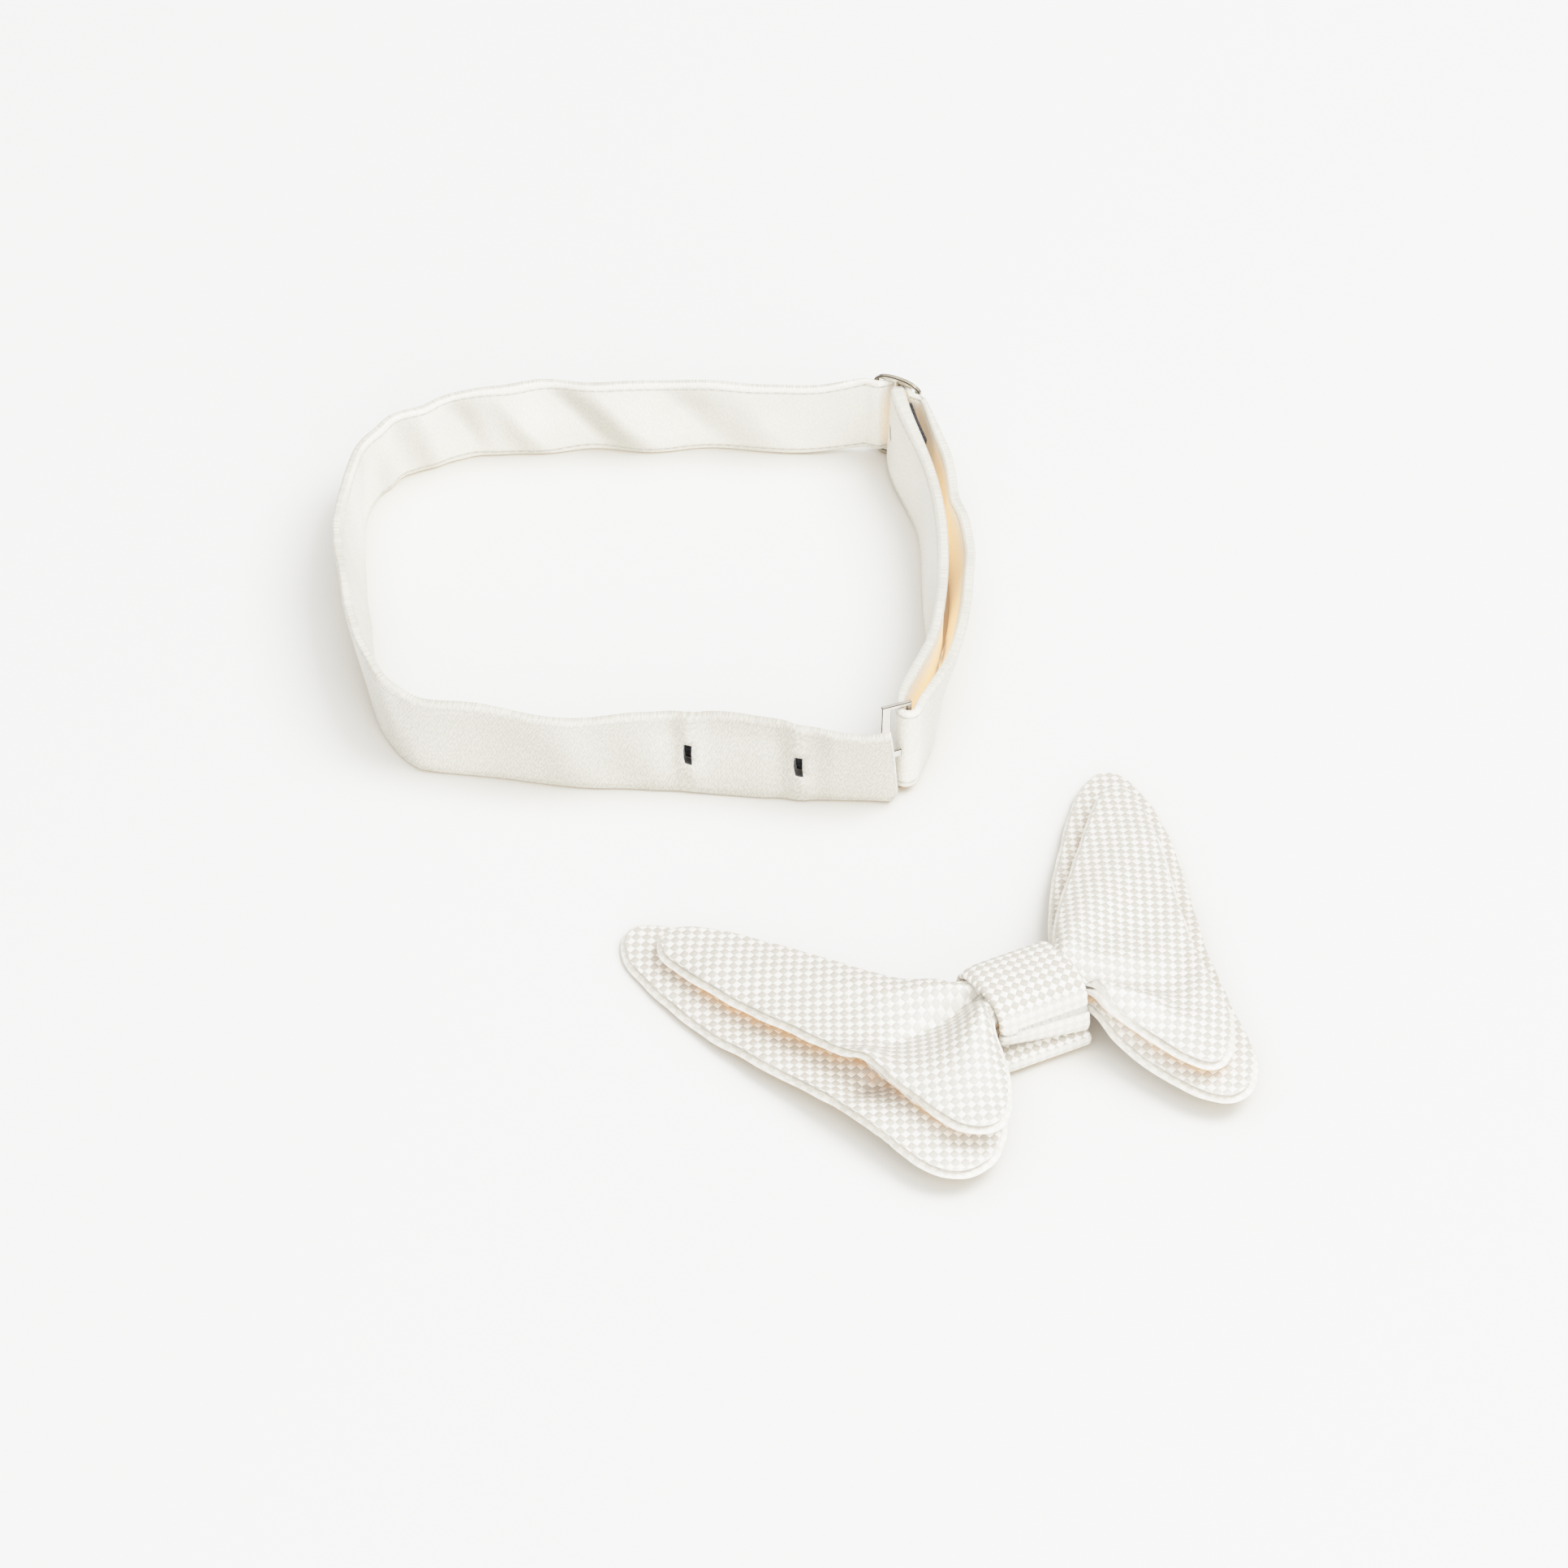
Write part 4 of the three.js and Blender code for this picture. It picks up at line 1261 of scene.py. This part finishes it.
    def around(self, section: np.ndarray) -> np.ndarray:
        """Measures how far round the ring each place is.

        Args:
            section: place across and above of each vertex, in metres.

        Returns:
            The way round the ring of each, in metres.
        """
        half = (section.max(axis=0) - section.min(axis=0)) / 2
        across, above = ((section - section.max(axis=0) + half) / half).T
        angle, reach = np.arctan2(above, across), np.hypot(across, above)
        bins = np.linspace(-math.pi, math.pi, self.sectors + 1)
        sector = np.clip(np.digitize(angle, bins) - 1, 0, self.sectors - 1)
        outer = np.array([reach[sector == number].max() for number in range(self.sectors)])
        middles = (bins[1:] + bins[:-1]) / 2
        line = np.stack([outer * np.cos(middles), outer * np.sin(middles)], axis=1) * half
        ways = np.concatenate([[0], np.cumsum(np.linalg.norm(np.diff(line, axis=0), axis=1))])
        return np.interp(angle, middles, ways)

    def shape(self) -> bpy.types.Object:
        """Shapes the ring and paints what its weave reads.

        Returns:
            The piece.
        """
        mesh = welded(self.node)
        long = [e for e in mesh.edges if e.calc_length() > 2.5 * MM]
        bmesh.ops.subdivide_edges(mesh, edges=long, cuts=1, use_grid_fill=True)
        piece = finished(mesh, self.name, 2)
        self.press(piece)
        places = corners(piece)
        u, v = BOW.flat(places)
        lay_cloth(piece, np.stack([u, self.around(np.stack([v, places[:, 2]], axis=1))], axis=1))
        paint(piece, "gap_shade_strength", np.full(len(places), self.gap_shade_strength))
        near = facing(piece) @ np.array([math.sin(BOW.turn), -math.cos(BOW.turn), 0.0])
        paint(piece, "plain", 0.78 * fade(near, 0.75, 0.2))
        return piece

    def declare(self, piece: bpy.types.Object) -> None:
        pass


@dataclass(frozen=True)
class Fitting(Part):
    """A plated metal fitting.

    Attributes:
        soft: width of its rounded edges, in metres.
    """

    soft: float

    def adjust(self, mesh: bmesh.types.BMesh) -> None:
        """Moves corners of the copied CAD node where the fitting differs from it."""

    def shape(self) -> bpy.types.Object:
        """Shapes the fitting and rounds its edges, which take its second material, painted dark as shade.

        Returns:
            The piece.
        """
        mesh = welded(self.node)
        self.adjust(mesh)
        piece = finished(mesh, self.name, 0)
        piece.data.shade_flat()
        edges = piece.modifiers.new("soft_edges", "BEVEL")
        edges.width = self.soft
        edges.segments = 2
        edges.limit_method = "ANGLE"
        edges.use_clamp_overlap = False
        edges.material = 1
        return piece


@dataclass(frozen=True)
class Slider(Fitting):
    """The metal slider, whose upper rail arches closely over the band.

    Attributes:
        rail: height above which the upper rail comes down, in metres.
        lower: how far the rail's underside, its top in the middle and its top at the ends come down, in metres.
    """

    rail: float = 19.0 * MM
    lower: tuple[float, float, float] = (1.0 * MM, 0.75 * MM, 1.8 * MM)

    def adjust(self, mesh: bmesh.types.BMesh) -> None:
        """Lowers the upper rail and arches it.

        Args:
            mesh: the copied CAD node.
        """
        top = max(v.co.z for v in mesh.verts)
        middle = sum((v.co for v in mesh.verts), Vector()) / len(mesh.verts)
        reach = max((v.co - middle).xy.length for v in mesh.verts)
        underside, inner, outer = self.lower
        for v in mesh.verts:
            part = (v.co - middle).xy.length / reach
            if part < 0.45 and v.co.z > top - 0.8 * MM:
                v.co.z = top
            if v.co.z > top - 0.8 * MM or part > 0.85:
                above = min(max((v.co.z - self.rail) / (top - self.rail), 0.0), 1.0)
                v.co.z -= (inner + (outer - inner) * part ** 2) * above
            elif v.co.z > top - 2.0 * MM:
                v.co.z -= underside


@dataclass(frozen=True)
class Hook(Fitting):
    """The metal hook, whose small tongue bends out towards the free end.

    Attributes:
        lower: height of the tongue's lower edge and how far that edge is raised, in millimetres.
        upper: height of the tongue's upper edge and how far that edge is let down, in millimetres.
        lean: how far the hook leans for each unit of height.
    """

    lower: tuple[float, float] = (9.7, 1.2)
    upper: tuple[float, float] = (14.07, -1.5)
    lean: tuple[float, float] = (0.025, 0.095)

    def adjust(self, mesh: bmesh.types.BMesh) -> None:
        """Narrows the tongue.

        Args:
            mesh: the copied CAD node.
        """
        for v in mesh.verts:
            for height, step in (self.lower, self.upper):
                if abs(v.co.z / MM - height) < 0.2:
                    v.co += Vector((*self.lean, 1.0)) * step * MM


@dataclass
class Studio:
    """The plain floor, the soft light and the camera.

    Attributes:
        distance: from the camera to the point it looks at, in metres.
        elevation: angle of the camera above the surface, in degrees.
        focal: focal length in pixels of the photograph's frame.
        frame_width: width of the photograph's frame in pixels.
        raise_by: how far above the common point the camera looks, across its view, in metres.
        white: brightness that still shows a shade below white.
        contact_shade_tones: share of open sky and floor colour with painted contact shadow, from the narrowest
            gap
        to open floor.
    """

    distance: float = 1.5984
    elevation: float = 44.0
    focal: float = 9750.0
    frame_width: float = 1932.0
    raise_by: float = 0.57 * MM
    white: float = 2.5
    contact_shade_tones: tuple[tuple[float, Colour], ...] = (
        (0.08, (0.95, 0.68, 0.43)), (0.22, (0.70, 0.66, 0.59)), (1.0, (0.875, 0.873, 0.872)))

    def camera(self) -> None:
        """Sets the camera at the photograph's angle."""
        angle = math.radians(self.elevation)
        back = Vector((0, -math.cos(angle), math.sin(angle)))
        above = Vector((0, math.sin(angle), math.cos(angle)))
        data = bpy.data.cameras.new("camera")
        data.sensor_width = 36.0
        data.lens = data.sensor_width * self.focal / self.frame_width
        data.clip_start, data.clip_end = 0.05, 20.0
        camera = placed("camera", data)
        camera.location = ORIGIN + above * self.raise_by + back * self.distance
        camera.rotation_euler = (math.pi / 2 - angle, 0, 0)
        bpy.context.scene.camera = camera

    def lamp(self, name: str, place: tuple, size: float, watts: float, colour: Colour) -> None:
        """Adds a soft square lamp aimed at the bow tie.

        Args:
            name: name of the lamp.
            place: where it hangs, in metres.
            size: length of its side, in metres.
            watts: its power.
            colour: its colour.
        """
        data = bpy.data.lights.new(name, "AREA")
        data.size = size
        data.energy = watts
        data.color = colour
        lamp = placed(name, data)
        lamp.location = place
        lamp.rotation_euler = (-Vector(place)).to_track_quat("-Z", "Y").to_euler()

    def floor(self) -> None:
        """Lays the pale floor, with painted contact shadow, darker and more orange where cloth stands close
        over it.
        """
        mesh = bmesh.new()
        bmesh.ops.create_grid(mesh, x_segments=1, y_segments=1, size=3.0)
        piece = finished(mesh, "floor", 0)
        material, graph = new_material("pale_floor_contact_shade")
        near = graph.add("ShaderNodeAmbientOcclusion", {"Distance": 10 * MM}, samples=8)
        ramp = graph.add("ShaderNodeValToRGB", {0: near.outputs["AO"]})
        tones = ramp.color_ramp.elements
        tones.new(self.contact_shade_tones[1][0])
        for tone, (share, colour) in zip(tones, self.contact_shade_tones):
            tone.position = share
            tone.color = (*colour, 1.0)
        graph.principled({"Base Color": ramp.outputs[0], "Roughness": 0.7, "Specular IOR Level": 0.2})
        piece.data.materials.append(material)

    def room(self) -> None:
        """Surrounds the scene with soft light, brighter overhead than at the horizon."""
        world = bpy.data.worlds.new("soft_room")
        world.use_nodes = True
        graph = Graph(world.node_tree)
        up = graph.split(graph.add("ShaderNodeTexCoord").outputs["Generated"])[2]
        high = graph.add("ShaderNodeMapRange", {0: up, 1: 0.0, 2: 0.7}, interpolation_type="SMOOTHSTEP")
        colour = graph.tint(high.outputs[0], (0.48, 0.468, 0.445), (0.85, 0.833, 0.80))
        strip = graph.spread(graph.math("ABSOLUTE", graph.math("SUBTRACT", up, 0.1)), 0.05, 0.08, 0.9, 0.0)
        colour = graph.tint(strip, colour, (0.02, 0.02, 0.02))
        light = graph.add("ShaderNodeBackground", {"Color": colour, "Strength": 1.0})
        graph.add("ShaderNodeOutputWorld", {0: light.outputs[0]})
        bpy.context.scene.world = world

    def tone(self) -> None:
        """Bends the bright tones over as a camera does, so that white cloth keeps its shades."""
        view = bpy.context.scene.view_settings
        view.view_transform = "Standard"
        view.use_curve_mapping = True
        bend = view.curve_mapping
        bend.white_level = (self.white, self.white, self.white)
        curve = bend.curves[3]
        for part in (0.02, 0.05, 0.1, 0.18, 0.28, 0.4, 0.55, 0.75):
            curve.points.new(part, 1 - math.exp(-2 * self.white * part))
        curve.points[-1].location = (1.0, 1 - math.exp(-2 * self.white))
        bend.update()

    def build(self) -> None:
        """Builds the studio."""
        self.camera()
        self.floor()
        self.lamp("key", (1.0, 0.15, 1.7), 1.2, 26.5, (0.96, 0.99, 1.0))
        self.lamp("fill", (0.3, -1.7, 0.9), 1.8, 21.0, (0.985, 0.995, 1.0))
        self.room()
        self.tone()


@dataclass
class Surroundings:
    """Works out how closed in each point of the cloth is, for the painted shade and light between layers.

    Attributes:
        reach: how far a neighbour still counts, in metres.
        rays: how many directions are tried at each point.
        strength: the mask's greatest value.
    """

    reach: float = 13 * MM
    rays: int = 14
    strength: float = 0.9

    def directions(self) -> np.ndarray:
        """Spreads directions evenly over a half sphere round +Z.

        Returns:
            The directions, one row each.
        """
        height = 1 - (np.arange(self.rays) + 0.5) / self.rays * 0.8
        flat = np.sqrt(1 - height ** 2)
        angle = np.arange(self.rays) * math.pi * (3 - math.sqrt(5))
        return np.stack([flat * np.cos(angle), flat * np.sin(angle), height], axis=1)

    def tint(self, pieces: list[bpy.types.Object], skins: list[float]) -> None:
        """Paints how closed in each piece is, scaled by its warmth, as the mask of painted shade and light.

        Args:
            pieces: the cloth pieces.
            skins: for each piece, what is nearer than this is the cloth's own surface, in metres.
        """
        meshes = [piece.data for piece in pieces]
        starts = np.cumsum([0] + [len(mesh.vertices) for mesh in meshes])
        points = [v.co for mesh in meshes for v in mesh.vertices]
        faces = [
            [int(start) + v for v in face.vertices]
            for start, mesh in zip(starts, meshes) for face in mesh.polygons]
        tree = BVHTree.FromPolygons(points, faces)
        around = [Vector(way) for way in self.directions()]
        for piece, skin in zip(pieces, skins):
            values = np.zeros(len(piece.data.vertices))
            for v in piece.data.vertices:
                turn = v.normal.to_track_quat("Z", "Y")
                start = v.co + v.normal * 0.25 * MM
                for way in around:
                    distance = tree.ray_cast(start, turn @ way, self.reach)[3]
                    if distance is not None and distance > skin:
                        values[v.index] += (1 - distance / self.reach) / self.rays
            shade = fade(values, 0.36, 0.45) * self.strength
            if "gap_shade_strength" in piece.data.attributes:
                shade = np.clip(shade * number_at(piece, "gap_shade_strength"), 0, 1)
            paint(piece, "painted_gap_shade", shade)


def main() -> None:
    """Builds the studio and the pieces in order, each of which is reported."""
    logging.basicConfig(level=logging.INFO, format="%(message)s")
    Studio().build()
    finishes = Finishes()
    cloth = (
        NeckBand("neck_strap", "band_cloth", SATIN),
        SizeTape("size_tape_front", "front_tape", TAPE, (0.0355, 0.0132), 3.2 * MM, FRONT_LEAN),
        SizeTape("size_tape_side", "side_tape", TAPE, (0.0114, 0.010)),
        BowLayer("bow_front", "upper_wings", BASKET, (
            Crease((-8.5, 2.2), (-34, -0.8), 1.0, 2.6, 3.4), Crease((-10, -4.5), (-24, -16), 4.2, 4.2, -1.7),
            Crease((-9, 8), (-30, 10), 2.4, 2.4, -0.8), Crease((-7, -2.5), (-15, -3), 5.0, 4.0, -1.3),
            Crease((9.5, -1.8), (30, -15), 0.9, 4.4, 4.5), Crease((10, -5.8), (29, -20), 2.2, 2.2, -1.6),
            Crease((13, 1.5), (33, -3.0), 2.8, 4.0, -2.5), Crease((23, -15), (32, -20), 1.4, 1.8, 1.5)),
            notches=(Notch((-37.5, -5.0), (5.5, 4.5), (3.8, 0.5)),)),
        BowLayer("bow_back", "lower_wings", BASKET, (Crease((-31, -3.0), (-44, -5.5), 2.6, 2.6, 2.6),), 1.9),
        ClothRing("knot", "knot_cloth", BASKET, (0.047, 0.0191), pinch=0.7 * MM, sink=2.6 * MM),
        ClothRing("strap_loop", "strap_loop_cloth", BASKET, (0.049, 0.0196)),
    )
    pieces = [part.build(finishes) for part in cloth]
    skins = [2.0 * MM if isinstance(part, BowLayer) else 0.9 * MM for part in cloth]
    Surroundings().tint(pieces, skins)
    Slider("slider", "slider_plate", SILVER_BROWN_REFLECTION, 0.16 * MM).build(finishes)
    Hook("hook", "hook_plate", SILVER, 0.12 * MM).build(finishes)


if __name__ == "__main__":
    main()
